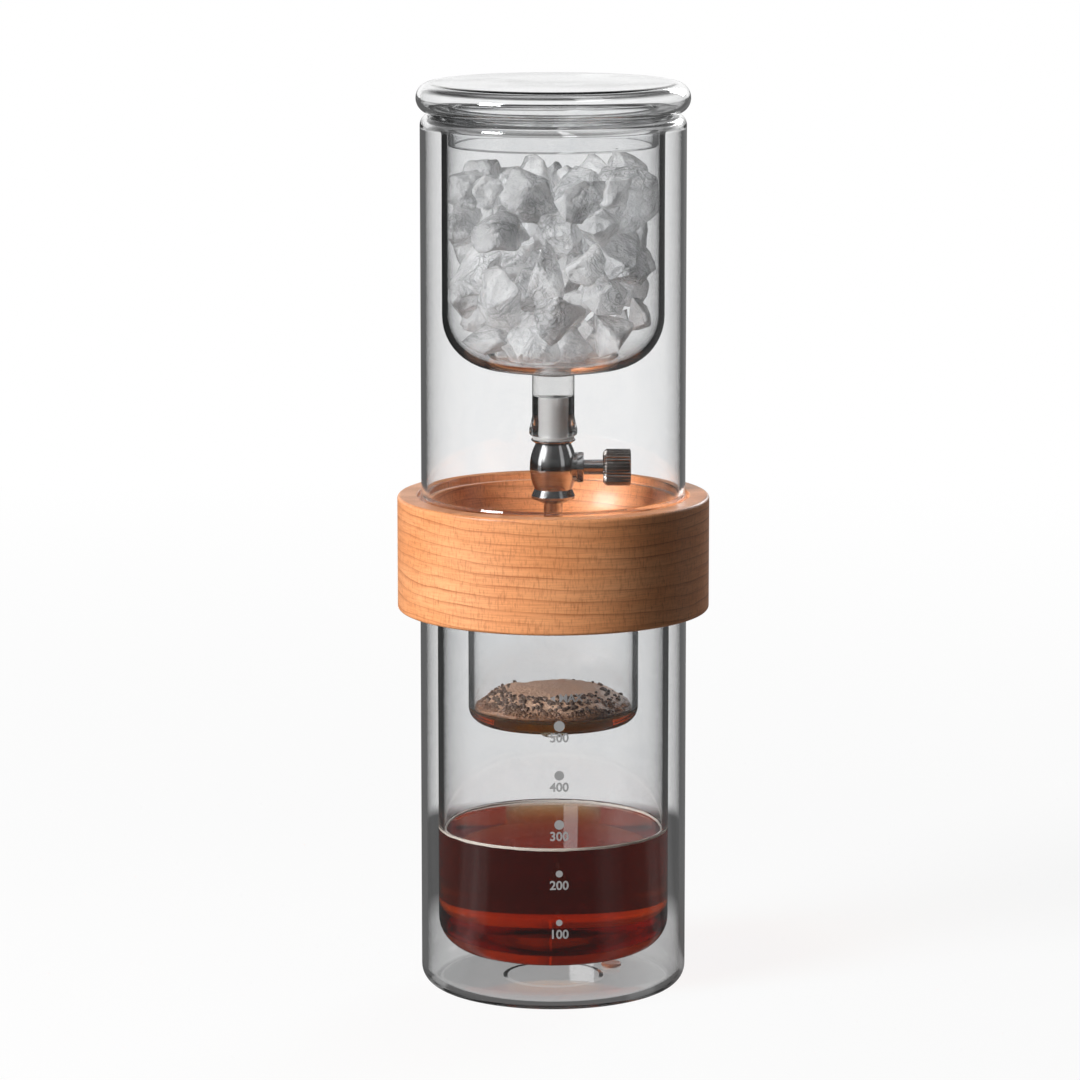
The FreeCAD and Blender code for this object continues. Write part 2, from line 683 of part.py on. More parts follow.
def make_valve_knob():
    """Knurled knob with chamfered ends and a bore for the stem."""
    end_x = KNOB_START_X + KNOB_LENGTH
    bore_end_x = KNOB_START_X + STEM_KNOB_REACH + KNOB_BORE_END_GAP
    envelope = turned([
        (0, KNOB_START_X),
        (KNOB_RADIUS - KNOB_INNER_CHAMFER, KNOB_START_X),
        (KNOB_RADIUS, KNOB_START_X + KNOB_INNER_CHAMFER),
        (KNOB_RADIUS, end_x - KNOB_OUTER_CHAMFER),
        (KNOB_RADIUS - KNOB_OUTER_CHAMFER, end_x),
        (KNOB_FACE_DISH_RADIUS, end_x),
        (KNOB_FACE_DISH_RADIUS - KNOB_FACE_DISH_DEPTH, end_x - KNOB_FACE_DISH_DEPTH),
        (0, end_x - KNOB_FACE_DISH_DEPTH),
    ])
    knob = fluted_bar(KNOB_RADIUS, KNOB_FLUTE_DEPTH, KNOB_FLUTES, KNOB_START_X, end_x)
    knob = knob.common(envelope).cut(upright_rod(STEM_KNOB_RADIUS, KNOB_START_X, bore_end_x))
    screw_hole = rod(SCREW_RADIUS, screw_axis_point(0), screw_axis_point(KNOB_RADIUS))
    return along_stem(knob).cut(screw_hole)


def make_knob_screw():
    """Socket-headed grub screw that grips the flat on the stem."""
    length = KNOB_RADIUS - SCREW_SUNK - STEM_FLAT_FROM_AXIS
    screw = upright_rod(SCREW_RADIUS, 0, length)
    screw = screw.cut(hexagon(SCREW_SOCKET_ACROSS_FLATS, length - SCREW_SOCKET_DEPTH, length))
    screw.rotate(Vector(0, 0, 0), Vector(1, 0, 0), -90)
    screw.translate(screw_axis_point(STEM_FLAT_FROM_AXIS))
    return screw


# Lid


def make_lid():
    """Hollow blown lid: flat top, edge rolled round, and a skirt that drops into the mouth."""
    skirt_radius = ice_cup_bore_radius - LID_SKIRT_PLAY
    skirt_bore_radius = skirt_radius - LID_SKIRT_WALL
    skirt_end_z = chamber_top_z - LID_SKIRT_DEPTH
    lid_top_z = chamber_top_z + LID_THICKNESS
    edge_round = LID_THICKNESS / 2
    inner_radius = lid_radius - LID_WALL
    inner_round = edge_round - LID_WALL
    return turned([
        (0, lid_top_z),
        (lid_radius, lid_top_z, edge_round),
        (lid_radius, chamber_top_z, edge_round),
        (skirt_radius, chamber_top_z),
        (skirt_radius, skirt_end_z, LID_SKIRT_WALL / 2),
        (skirt_bore_radius, skirt_end_z, LID_SKIRT_WALL / 2),
        (skirt_bore_radius, chamber_top_z + LID_WALL, LID_SKIRT_FILLET),
        (inner_radius, chamber_top_z + LID_WALL, inner_round),
        (inner_radius, lid_top_z - LID_WALL, inner_round),
        (0, lid_top_z - LID_WALL),
    ])


PIECES = {
    "carafe": make_carafe,
    "carafe_vent_plug": make_carafe_vent_plug,
    "wood_collar": make_wood_collar,
    "brew_cup": make_brew_cup,
    "filter_gasket": make_filter_gasket,
    "filter_screen": make_filter_screen,
    "ice_chamber": make_ice_chamber,
    "outlet_sleeve": make_outlet_sleeve,
    "valve_body": make_valve_body,
    "valve_spout": make_valve_spout,
    "valve_seat": make_valve_seat,
    "stem_packing": make_stem_packing,
    "packing_follower": make_packing_follower,
    "gland_nut": make_gland_nut,
    "valve_needle": make_valve_needle,
    "valve_stem": make_valve_stem,
    "valve_knob": make_valve_knob,
    "knob_screw": make_knob_screw,
    "lid": make_lid,
}

os.makedirs("parts", exist_ok=True)
for node, make in PIECES.items():
    solid = one_solid(make())
    solid.exportStep(f"parts/{node}.step")
    box = solid.BoundBox
    print(f"{node:18s} {solid.Volume:10.1f} mm3  z {box.ZMin:7.2f} to {box.ZMax:7.2f}  valid {solid.isValid()}")
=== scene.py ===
"""Looks of a cold drip coffee tower: blown glass, turned wood, a polished drip valve, ice and coffee.

Sections and the sizes of sub-assemblies are in millimetres. Meshes, texture coordinates and the
studio are in metres. The object stands at the origin with +Z up.
"""

import logging
import math
import random
from dataclasses import dataclass, field
from enum import Enum
from typing import Iterable

import bmesh
import bpy
from bmesh.types import BMEdge, BMesh, BMVert
from bpy.types import Material, Node, NodeTree, Object
from bpy.types import NodeSocket as Socket
from mathutils import Matrix, Vector, noise


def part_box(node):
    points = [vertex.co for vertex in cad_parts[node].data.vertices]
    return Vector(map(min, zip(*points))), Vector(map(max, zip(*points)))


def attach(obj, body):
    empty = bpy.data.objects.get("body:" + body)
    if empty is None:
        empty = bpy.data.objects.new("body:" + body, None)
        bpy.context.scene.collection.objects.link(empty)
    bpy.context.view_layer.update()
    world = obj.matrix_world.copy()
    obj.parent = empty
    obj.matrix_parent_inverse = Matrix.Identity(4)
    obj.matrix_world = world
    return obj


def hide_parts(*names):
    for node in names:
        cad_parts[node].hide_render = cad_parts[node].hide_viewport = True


log = logging.getLogger("tower")

MM = 0.001
SMOOTH_ANGLE = math.radians(28)
TURNING_STEPS = 192
SMALL_TURNING_STEPS = 96
ARC_STEP = math.radians(8)
RUN_SUPPORT_MM = 0.35
MERGE_DISTANCE = 1e-7
NOISE_SEED = 7
PRINT_THICKNESS_MM = 0.03
PRINT_PROUD_MM = 0.04
FONT_FIGURE_SHARE = 0.7
FONT_WEIGHT_SHARE = 0.034
UPRIGHT = Matrix.Rotation(math.pi / 2, 4, "X")
WHITE = (1.0, 1.0, 1.0)

Corner = tuple[float | str, ...]
Colour = tuple[float, float, float]


class Body(Enum):
    """The moving bodies that pieces ride on."""

    CARAFE = "carafe"
    COLLAR = "collar"
    CUP = "cup"
    CHAMBER = "chamber"
    LID = "lid"
    NEEDLE = "needle"
    KNOB = "knob"


# Outlines and turned meshes


def circle_through(start: Vector, through: Vector, end: Vector) -> tuple[Vector, float]:
    """Finds the circle through three points of a plane.

    Args:
        start: first point.
        through: point between the two ends.
        end: last point.

    Returns:
        The centre and the radius.
    """
    ax, ay = start
    bx, by = through
    cx, cy = end
    twice_area = 2 * (ax * (by - cy) + bx * (cy - ay) + cx * (ay - by))
    a, b, c = start.length_squared, through.length_squared, end.length_squared
    x = (a * (by - cy) + b * (cy - ay) + c * (ay - by)) / twice_area
    y = (a * (cx - bx) + b * (ax - cx) + c * (bx - ax)) / twice_area
    centre = Vector((x, y))
    return centre, (start - centre).length


def arc_points(start: Vector, through: Vector, end: Vector) -> list[Vector]:
    """Samples the arc from start through a point to end, without its first point.

    Args:
        start: first point.
        through: point on the arc.
        end: last point.

    Returns:
        Points at even angles, the last one being end.
    """
    centre, radius = circle_through(start, through, end)
    first = math.atan2(start.y - centre.y, start.x - centre.x)
    middle = math.atan2(through.y - centre.y, through.x - centre.x)
    last = math.atan2(end.y - centre.y, end.x - centre.x)
    full = 2 * math.pi
    turn = (last - first) % full
    if (middle - first) % full > turn:
        turn -= full
    count = max(2, math.ceil(abs(turn) / ARC_STEP))
    points = []
    for i in range(1, count + 1):
        angle = first + turn * i / count
        points.append(centre + Vector((math.cos(angle), math.sin(angle))) * radius)
    return points


def corner_arc(
    before: Vector, corner: Vector, after: Vector, radius: float
) -> tuple[Vector, Vector, Vector]:
    """Finds the arc that rounds a corner.

    Args:
        before: corner before it.
        corner: the corner.
        after: corner after it.
        radius: rounding radius.

    Returns:
        Start, middle and end of the arc.
    """
    back = (before - corner).normalized()
    ahead = (after - corner).normalized()
    half_angle = back.angle(ahead) / 2
    bisector = (back + ahead).normalized()
    centre = corner + bisector * (radius / math.sin(half_angle))
    reach = radius / math.tan(half_angle)
    return corner + back * reach, centre - bisector * radius, corner + ahead * reach


def run_points(start: Vector, end: Vector) -> list[Vector]:
    """Samples a straight run, with points close to its ends that keep its shading flat.

    Args:
        start: first point, in millimetres.
        end: last point, in millimetres.

    Returns:
        Points after start, the last one being end.
    """
    length = (end - start).length
    if length < 3 * RUN_SUPPORT_MM:
        return [end]
    ahead = (end - start) / length
    return [start + ahead * RUN_SUPPORT_MM, end - ahead * RUN_SUPPORT_MM, end]


def outline(corners: Iterable[Corner], closed: bool) -> list[Vector]:
    """Draws a half section from corners (radius, height), (radius, height, rounding) or (.., "through").

    Args:
        corners: the corners, in millimetres.
        closed: whether the last corner joins the first.

    Returns:
        The section's points, in millimetres.
    """
    corners = list(corners)
    places = [Vector(corner[:2]) for corner in corners]
    marks = [corner[2] if len(corner) > 2 else 0 for corner in corners]
    count = len(corners)
    stations: list[tuple[str, Vector]] = []
    for i, (place, mark) in enumerate(zip(places, marks)):
        if mark == "through":
            stations.append(("through", place))
        elif mark:
            start, middle, end = corner_arc(places[i - 1], place, places[(i + 1) % count], mark)
            stations += [("run", start), ("through", middle), ("run", end)]
        else:
            stations.append(("run", place))
    points = [stations[0][1]]
    if closed:
        stations.append(stations[0])
    for i in range(1, len(stations)):
        kind, place = stations[i]
        if kind == "through":
            continue
        if stations[i - 1][0] == "through":
            points += arc_points(stations[i - 2][1], stations[i - 1][1], place)
        elif (place - points[-1]).length > MERGE_DISTANCE / MM:
            points += run_points(points[-1], place)
    if closed:
        points.pop()
    return points


def turned(
    corners: Iterable[Corner], closed: bool = True, steps: int = TURNING_STEPS, inward: bool = False
) -> BMesh:
    """Turns a half section about the Z axis.

    Args:
        corners: the section's corners, in millimetres.
        closed: whether the section is a loop clear of the axis.
        steps: number of steps round the axis.
        inward: whether the faces point into the shape, as on a hollow's skin.

    Returns:
        The turned mesh, in metres.
    """
    bm = bmesh.new()
    ring = [bm.verts.new((point.x * MM, 0, point.y * MM)) for point in outline(corners, closed)]
    edges = [bm.edges.new(pair) for pair in zip(ring, ring[1:])]
    if closed:
        edges.append(bm.edges.new((ring[-1], ring[0])))
    bmesh.ops.spin(
        bm,
        geom=edges,
        cent=(0, 0, 0),
        axis=(0, 0, 1),
        angle=2 * math.pi,
        steps=steps,
        use_merge=True,
    )
    bmesh.ops.remove_doubles(bm, verts=bm.verts, dist=MERGE_DISTANCE)
    bmesh.ops.recalc_face_normals(bm, faces=bm.faces)
    if inward:
        bmesh.ops.reverse_faces(bm, faces=bm.faces)
    return bm


def merged(parts: Iterable[BMesh]) -> BMesh:
    """Puts several meshes into one.

    Args:
        parts: the meshes, which are freed.

    Returns:
        One mesh with all their faces.
    """
    whole = bmesh.new()
    for part in parts:
        passing = bpy.data.meshes.new("passing")
        part.to_mesh(passing)
        part.free()
        whole.from_mesh(passing)
        bpy.data.meshes.remove(passing)
    return whole


def piece(
    name: str, bm: BMesh, material: Material, smooth_angle: float = SMOOTH_ANGLE
) -> Object:
    """Makes a shown object from a mesh.

    Args:
        name: the piece's name.
        bm: its mesh, which is freed.
        material: its finish.
        smooth_angle: edges sharper than this stay sharp.

    Returns:
        The object, at the origin.
    """
    mesh = bpy.data.meshes.new(name)
    bm.to_mesh(mesh)
    bm.free()
    mesh.shade_smooth()
    mesh.set_sharp_from_angle(angle=smooth_angle)
    mesh.materials.append(material)
    made = bpy.data.objects.new(name, mesh)
    bpy.context.scene.collection.objects.link(made)
    return made


def carved(target: Object, tool: BMesh, operation: str) -> Object:
    """Joins a shape to a piece or cuts it out, and keeps the result in the piece's mesh.

    Args:
        target: the piece.
        tool: the shape, which is freed.
        operation: UNION or DIFFERENCE.

    Returns:
        The piece.
    """
    cutter = piece("cutter", tool, target.data.materials[0])
    modifier = target.modifiers.new("carve", "BOOLEAN")
    modifier.operation = operation
    modifier.solver = "EXACT"
    modifier.object = cutter
    graph = bpy.context.evaluated_depsgraph_get()
    mesh = bpy.data.meshes.new_from_object(target.evaluated_get(graph))
    target.modifiers.clear()
    target.data = mesh
    mesh.set_sharp_from_angle(angle=SMOOTH_ANGLE)
    spare = cutter.data
    bpy.data.objects.remove(cutter)
    bpy.data.meshes.remove(spare)
    return target


def seat(made: Object, body: Body, slot: str, *nodes: str) -> None:
    """Puts a finished piece on its body.

    Args:
        made: the piece.
        body: the body that it rides on.
        slot: the record's material slot; not used.
        nodes: the solids that it stands for.
    """
    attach(made, body.value)
    if nodes:
        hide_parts(*nodes)
    log.info("%s rides on %s", made.name, body.value)


def show(
    name: str, bm: BMesh, material: Material, body: Body, slot: str, *nodes: str
) -> None:
    """Makes a piece and puts it on its body. What it takes is what piece and seat take."""
    seat(piece(name, bm, material), body, slot, *nodes)


# Shader nodes


def opaque(colour):
    """Adds full alpha to a plain colour, and leaves a socket as it is."""
    return (*colour, 1.0) if isinstance(colour, tuple) else colour


class Nodes:
    """Short ways to add and link nodes in one tree."""

    def __init__(self, tree: NodeTree) -> None:
        """Keeps the tree."""
        self.tree = tree

    def add(self, kind: str, inputs: dict | None = None, **properties) -> Node:
        """Adds a node.

        Args:
            kind: the node's type name, without its ShaderNode prefix.
            inputs: values or sockets for its inputs, by name or number.
            properties: values for its own properties.

        Returns:
            The node.
        """
        node = self.tree.nodes.new("ShaderNode" + kind)
        for name, value in properties.items():
            setattr(node, name, value)
        for name, value in (inputs or {}).items():
            if isinstance(value, Socket):
                self.tree.links.new(value, node.inputs[name])
            else:
                node.inputs[name].default_value = value
        return node

    def math(self, operation: str, first, second=0.0) -> Socket:
        """Adds a Math node and gives its value."""
        return self.add("Math", {0: first, 1: second}, operation=operation).outputs[0]

    def times(self, first, second) -> Socket:
        """Multiplies two values."""
        return self.math("MULTIPLY", first, second)

    def plus(self, first, second) -> Socket:
        """Adds two values."""
        return self.math("ADD", first, second)

    def minus(self, first, second) -> Socket:
        """Takes the second value from the first."""
        return self.math("SUBTRACT", first, second)

    def most(self, first, second) -> Socket:
        """Gives the larger of two values."""
        return self.math("MAXIMUM", first, second)

    def ramp(self, value: Socket, stops: list[tuple[float, Colour]]) -> Socket:
        """Maps a value to colours.

        Args:
            value: the value, from 0 to 1.
            stops: positions and colours, in order.

        Returns:
            The colour.
        """
        node = self.add("ValToRGB", {"Fac": value})
        elements = node.color_ramp.elements
        while len(elements) < len(stops):
            elements.new(1.0)
        for element, (position, colour) in zip(elements, stops):
            element.position = position
            element.color = (*colour, 1.0)
        return node.outputs["Color"]

    def spread(
        self, value: Socket, low: float, high: float, start: float = 0.0, end: float = 1.0
    ) -> Socket:
        """Maps start..end to low..high."""
        inputs = {"Value": value, "From Min": start, "From Max": end, "To Min": low, "To Max": high}
        return self.add("MapRange", inputs).outputs["Result"]

    def blend(self, share, first, second) -> Socket:
        """Mixes two colours."""
        inputs = {0: share, 6: opaque(first), 7: opaque(second)}
        return self.add("Mix", inputs, data_type="RGBA").outputs[2]

    def placed(self, scale: tuple[float, float, float]) -> Socket:
        """Object coordinates, scaled along each axis."""
        coordinates = self.add("TexCoord").outputs["Object"]
        return self.add("Mapping", {"Vector": coordinates, "Scale": scale}).outputs["Vector"]

    def noise(
        self, vector: Socket, scale: float, detail: float = 3.0, roughness: float = 0.5
    ) -> Socket:
        """Adds a noise texture and gives its value."""
        inputs = {"Vector": vector, "Scale": scale, "Detail": detail, "Roughness": roughness}
        return self.add("TexNoise", inputs).outputs["Fac"]


class Group(Nodes):
    """A shader node group with named inputs and outputs, built once."""

    def __init__(self, name: str, inputs: dict[str, float], outputs: dict[str, str]) -> None:
        """Makes the group's sockets.

        Args:
            name: the group's name.
            inputs: default values of its inputs.
            outputs: socket types of its outputs.
        """
        tree = bpy.data.node_groups.new(name, "ShaderNodeTree")
        super().__init__(tree)
        for label, value in inputs.items():
            socket = tree.interface.new_socket(label, in_out="INPUT", socket_type="NodeSocketFloat")
            socket.default_value = value
        for label, kind in outputs.items():
            tree.interface.new_socket(label, in_out="OUTPUT", socket_type=kind)
        self.source = tree.nodes.new("NodeGroupInput")
        self.result = tree.nodes.new("NodeGroupOutput")

    def give(self, label: str, socket: Socket) -> None:
        """Links a socket to one of the group's outputs."""
        self.tree.links.new(socket, self.result.inputs[label])


class Finish(Nodes):
    """A material with a Principled shader."""

    def __init__(self, name: str) -> None:
        """Makes the material and its shader."""
        self.material = bpy.data.materials.new(name)
        self.material.use_nodes = True
        super().__init__(self.material.node_tree)
        self.tree.nodes.clear()
        self.output = self.add("OutputMaterial")
        self.shader = self.add("BsdfPrincipled")
        self.tree.links.new(self.shader.outputs["BSDF"], self.output.inputs["Surface"])

    def set(self, **sockets) -> None:
        """Sets the shader's sockets; an underscore in a name stands for a space."""
        for name, value in sockets.items():
            label = name.replace("_", " ")
            if isinstance(value, Socket):
                self.tree.links.new(value, self.shader.inputs[label])
            else:
                self.shader.inputs[label].default_value = value

    def group(self, tree: NodeTree, **values: float) -> Node:
        """Places a node group and sets its inputs."""
        node = self.tree.nodes.new("ShaderNodeGroup")
        node.node_tree = tree
        for name, value in values.items():
            node.inputs[name].default_value = value
        return node

    def bump(self, height: Socket, strength: float, distance_mm: float) -> None:
        """Feeds the shader's normal from a height."""
        inputs = {"Height": height, "Strength": strength, "Distance": distance_mm * MM}
        self.set(Normal=self.add("Bump", inputs).outputs["Normal"])

    def let_lamps_through(self, share: float) -> None:
        """Lets light for shadows and for soft bounces pass straight through."""
        path = self.add("LightPath")
        soft = self.most(path.outputs["Is Shadow Ray"], path.outputs["Is Diffuse Ray"])
        clear = self.add("BsdfTransparent", {"Color": opaque(WHITE)})
        mix = self.add("MixShader", {0: self.times(soft, share)})
        self.tree.links.new(self.shader.outputs["BSDF"], mix.inputs[1])
        self.tree.links.new(clear.outputs["BSDF"], mix.inputs[2])
        self.tree.links.new(mix.outputs["Shader"], self.output.inputs["Surface"])

    def absorb(self, per_metre: Colour) -> None:
        """Fills the shape with plain absorption.

        Args:
            per_metre: how much of red, green and blue a metre takes, as exponents.
        """
        density = max(per_metre)
        colour = tuple(1 - k / density for k in per_metre)
        inside = self.add("VolumeAbsorption", {"Color": (*colour, 1), "Density": density})
        self.tree.links.new(inside.outputs["Volume"], self.output.inputs["Volume"])


def flow_group() -> NodeTree:
    """Height of the long waves and streaks that blowing leaves in glass."""
    group = Group("blown_flow", {"Streaks": 1.0, "Waves": 1.0}, {"Height": "NodeSocketFloat"})
    streaks = group.noise(group.placed((1, 1, 0.05)), scale=160.0, detail=2.0)
    waves = group.noise(group.placed((1, 1, 0.5)), scale=28.0, detail=1.0)
    streaks = group.times(streaks, group.source.outputs["Streaks"])
    waves = group.times(waves, group.source.outputs["Waves"])
    group.give("Height", group.plus(streaks, waves))
    return group.tree


def handled_group() -> NodeTree:
    """Mask of faint smudges and specks that handling leaves on a polished surface."""
    group = Group("handled", {"Scale": 1.0}, {"Mask": "NodeSocketFloat"})
    inputs = {0: group.placed((1, 1, 1)), "Scale": group.source.outputs["Scale"]}
    place = group.add("VectorMath", inputs, operation="SCALE").outputs["Vector"]
    smudges = group.noise(place, scale=90.0, detail=4.0, roughness=0.6)
    specks = group.noise(place, scale=900.0, detail=2.0)
    both = group.times(smudges, specks)
    group.give("Mask", group.spread(both, 0.0, 1.0, 0.15, 0.4))
    return group.tree


LAYER_TILT = 0.05
LAYER_SHARPNESS = 7.0


def grain_group() -> NodeTree:
    """Growth layers, fibres and flecks of a turned ring, with its layers lying nearly flat."""
    outputs = {"Layers": "NodeSocketFloat", "Fibres": "NodeSocketFloat", "Flecks": "NodeSocketFloat"}
    group = Group("turned_grain", {"Layer Scale": 74.0, "Waviness": 0.0088}, outputs)
    parts = group.add("SeparateXYZ", {0: group.placed((1, 1, 1))})
    broad = group.noise(group.placed((10, 12, 26)), scale=1.0, detail=3.0)
    lift = group.times(group.minus(broad, 0.5), group.source.outputs["Waviness"])
    tilt = group.times(parts.outputs["X"], LAYER_TILT)
    level = group.plus(group.plus(parts.outputs["Z"], tilt), lift)
    inputs = {
        "Vector": group.add("CombineXYZ", {2: level}).outputs[0],
        "Scale": group.source.outputs["Layer Scale"],
        "Distortion": 0.6,
        "Detail": 2.0,
    }
    lines = group.add("TexWave", inputs, bands_direction="Z", wave_profile="SAW")
    sharp = group.math("POWER", lines.outputs["Fac"], LAYER_SHARPNESS)
    uneven = group.noise(group.placed((20, 20, 260)), scale=1.0, detail=2.0)
    group.give("Layers", group.times(sharp, group.spread(uneven, 0.25, 1.25, 0.3, 0.7)))
    fibres = group.noise(group.placed((45, 120, 1900)), scale=1.0, detail=4.0, roughness=0.75)
    group.give("Fibres", fibres)
    flecks = group.noise(group.placed((1500, 1500, 330)), scale=1.0, detail=2.0)
    group.give("Flecks", group.spread(flecks, 0.0, 1.0, 0.5, 0.75))
    return group.tree


@dataclass(frozen=True)
class GlassFinish:
    """Clear blown glass that darkens along its walls."""

    name: str
    absorb_per_metre: Colour = (9.0, 8.7, 8.6)
    index: float = 1.43
    streaks: float = 0.5
    waves: float = 1.0
    bump_mm: float = 0.012
    smudge_colour: Colour = (0.97, 0.975, 0.98)
    smudge_roughness: float = 0.01

    def build(self, shop: "Workshop") -> Material:
        """Makes the material."""
        finish = Finish(self.name)
        handled = finish.group(shop.handled, Scale=1.0).outputs["Mask"]
        finish.set(
            Base_Color=finish.blend(handled, WHITE, self.smudge_colour),
            Roughness=finish.spread(handled, 0.0, self.smudge_roughness),
            Transmission_Weight=1.0,
            IOR=self.index,
        )
        flow = finish.group(shop.flow, Streaks=self.streaks, Waves=self.waves)
        finish.bump(flow.outputs["Height"], 1.0, self.bump_mm)
        finish.absorb(self.absorb_per_metre)
        finish.let_lamps_through(1.0)
        return finish.material


@dataclass(frozen=True)
class LiquidFinish:
    """Clear coloured liquid."""

    name: str
    absorb_per_metre: Colour
    index: float = 1.335
    ripple_mm: float = 0.02
    oil_colour: Colour = (0.96, 0.93, 0.9)
    oil_roughness: float = 0.01

    def build(self, shop: "Workshop") -> Material:
        """Makes the material."""
        finish = Finish(self.name)
        oils = finish.noise(finish.placed((1, 1, 1)), scale=55.0)
        finish.set(
            Base_Color=finish.blend(oils, WHITE, self.oil_colour),
            Roughness=finish.spread(oils, 0.0, self.oil_roughness, 0.4, 0.9),
            Transmission_Weight=1.0,
            IOR=self.index,
        )
        finish.bump(oils, 0.3, self.ripple_mm)
        finish.absorb(self.absorb_per_metre)
        finish.let_lamps_through(1.0)
        return finish.material


@dataclass(frozen=True)
class MetalFinish:
    """Plated or polished metal with faint smudges."""

    name: str
    colour: Colour
    worn_colour: Colour
    roughness: float = 0.06
    smudge_roughness: float = 0.16
    smudge_scale: float = 4.0
    bump_mm: float = 0.004

    def build(self, shop: "Workshop") -> Material:
        """Makes the material."""
        finish = Finish(self.name)
        handled = finish.group(shop.handled, Scale=self.smudge_scale).outputs["Mask"]
        finish.set(
            Base_Color=finish.blend(handled, self.colour, self.worn_colour),
            Roughness=finish.spread(handled, self.roughness, self.smudge_roughness),
            Metallic=1.0,
        )
        finish.bump(handled, 0.4, self.bump_mm)
        return finish.material


@dataclass(frozen=True)
class RubberFinish:
    """Milky or white polymer, or a line of foam."""

    name: str
    colour: Colour
    shade_colour: Colour
    transmission: float = 0.45
    roughness: float = 0.38
    roughness_range: float = 0.12
    index: float = 1.41
    lamp_share: float = 0.5
    absorb_per_metre: Colour = (90.0, 92.0, 96.0)

    def build(self, shop: "Workshop") -> Material:
        """Makes the material."""
        finish = Finish(self.name)
        cloud = finish.noise(finish.placed((1, 1, 1)), scale=420.0, detail=4.0, roughness=0.6)
        smooth = self.roughness - self.roughness_range
        rough = self.roughness + self.roughness_range
        finish.set(
            Base_Color=finish.blend(cloud, self.colour, self.shade_colour),
            Roughness=finish.spread(cloud, smooth, rough),
            Transmission_Weight=self.transmission,
            IOR=self.index,
        )
        finish.bump(cloud, 0.35, 0.08)
        if self.transmission > 0:
            finish.absorb(self.absorb_per_metre)
            finish.let_lamps_through(self.lamp_share)
        return finish.material


@dataclass(frozen=True)
class WoodFinish:
    """Turned and lacquered reddish-brown hardwood."""

    name: str
    pale: Colour = (0.95, 0.44, 0.20)
    middle: Colour = (0.84, 0.33, 0.125)
    dark: Colour = (0.36, 0.105, 0.03)
    fleck: Colour = (0.30, 0.09, 0.03)
    layer_share: float = 0.85
    fibre_share: float = 0.5
    fleck_share: float = 0.45
    coat: float = 0.15
    specular: float = 0.35
    pore_mm: float = 0.05

    def build(self, shop: "Workshop") -> Material:
        """Makes the material."""
        finish = Finish(self.name)
        grain = finish.group(shop.grain)
        layers = grain.outputs["Layers"]
        fibres = grain.outputs["Fibres"]
        flecks = grain.outputs["Flecks"]
        tone = finish.noise(finish.placed((18, 30, 60)), scale=1.0, detail=2.0)
        ground = finish.ramp(tone, [(0.3, self.middle), (0.7, self.pale)])
        lined = finish.blend(finish.times(layers, self.layer_share), ground, self.dark)
        dark_fibres = finish.spread(fibres, 0.0, self.fibre_share, 0.42, 0.75)
        streaked = finish.blend(dark_fibres, lined, self.dark)
        flecked = finish.blend(finish.times(flecks, self.fleck_share), streaked, self.fleck)
        finish.set(
            Base_Color=flecked,
            Roughness=finish.spread(fibres, 0.32, 0.5),
            Coat_Weight=self.coat,
            Coat_Roughness=0.15,
            Specular_IOR_Level=self.specular,
        )
        height = finish.minus(fibres, finish.times(flecks, 0.4))
        finish.bump(height, 0.4, self.pore_mm)
        return finish.material


@dataclass(frozen=True)
class IceFinish:
    """Wet crushed ice, cloudy inside and lined with cracks whose dark lines are partly painted shade for
    dark refractions and glints.
    """

    name: str
    absorb_per_metre: Colour = (3.0, 2.7, 2.5)
    cloudy: Colour = (0.93, 0.935, 0.94)
    crack_and_painted_glint: Colour = (0.34, 0.35, 0.36)
    crack_and_painted_glint_share: float = 0.75
    transmission: float = 0.58
    index: float = 1.31
    relief_mm: float = 1.7
    lamp_share: float = 0.9

    def curls(self, finish: Finish, place: Socket, scale: float, width: float) -> Socket:
        """Thin curling lines where cracks and melt channels run; painted dark, they also stand in for dark
        refractions and glints.

        Args:
            finish: the material to add to.
            place: the coordinates.
            scale: how many curls a metre holds.
            width: width of the lines, as a share of the noise.

        Returns:
            1 on a line, 0 away from it.
        """
        inputs = {"Vector": place, "Scale": scale, "Detail": 3.0, "Distortion": 1.2}
        level = finish.add("TexNoise", inputs).outputs["Fac"]
        off = finish.math("ABSOLUTE", finish.minus(level, 0.5))
        return finish.spread(off, 1.0, 0.0, 0.0, width)

    def build(self, shop: "Workshop") -> Material:
        """Makes the material."""
        finish = Finish(self.name)
        place = finish.placed((1, 1, 1))
        frost = finish.noise(place, scale=95.0, roughness=0.6)
        melt = finish.noise(place, scale=260.0, detail=5.0, roughness=0.6)
        threads = self.curls(finish, place, scale=120.0, width=0.06)
        hairs = self.curls(finish, place, scale=300.0, width=0.08)
        patches = finish.spread(finish.noise(place, scale=60.0, detail=2.0), 0.0, 1.0, 0.42, 0.6)
        # Dark lines painted into the base colour: partly real cracks, partly painted shade for dark
        # refractions and glints.
        crack_and_painted_glint = finish.times(finish.most(threads, finish.times(hairs, 0.6)), patches)
        clear = finish.ramp(frost, [(0.3, self.cloudy), (0.7, WHITE)])
        finish.set(
            Base_Color=finish.blend(finish.times(crack_and_painted_glint, self.crack_and_painted_glint_share), clear, self.crack_and_painted_glint),
            Roughness=finish.spread(frost, 0.0, 0.08, 0.55, 0.8),
            Transmission_Weight=self.transmission,
            IOR=self.index,
        )
        height = finish.plus(melt, finish.times(crack_and_painted_glint, 0.25))
        finish.bump(height, 1.0, self.relief_mm)
        finish.absorb(self.absorb_per_metre)
        finish.let_lamps_through(self.lamp_share)
        return finish.material


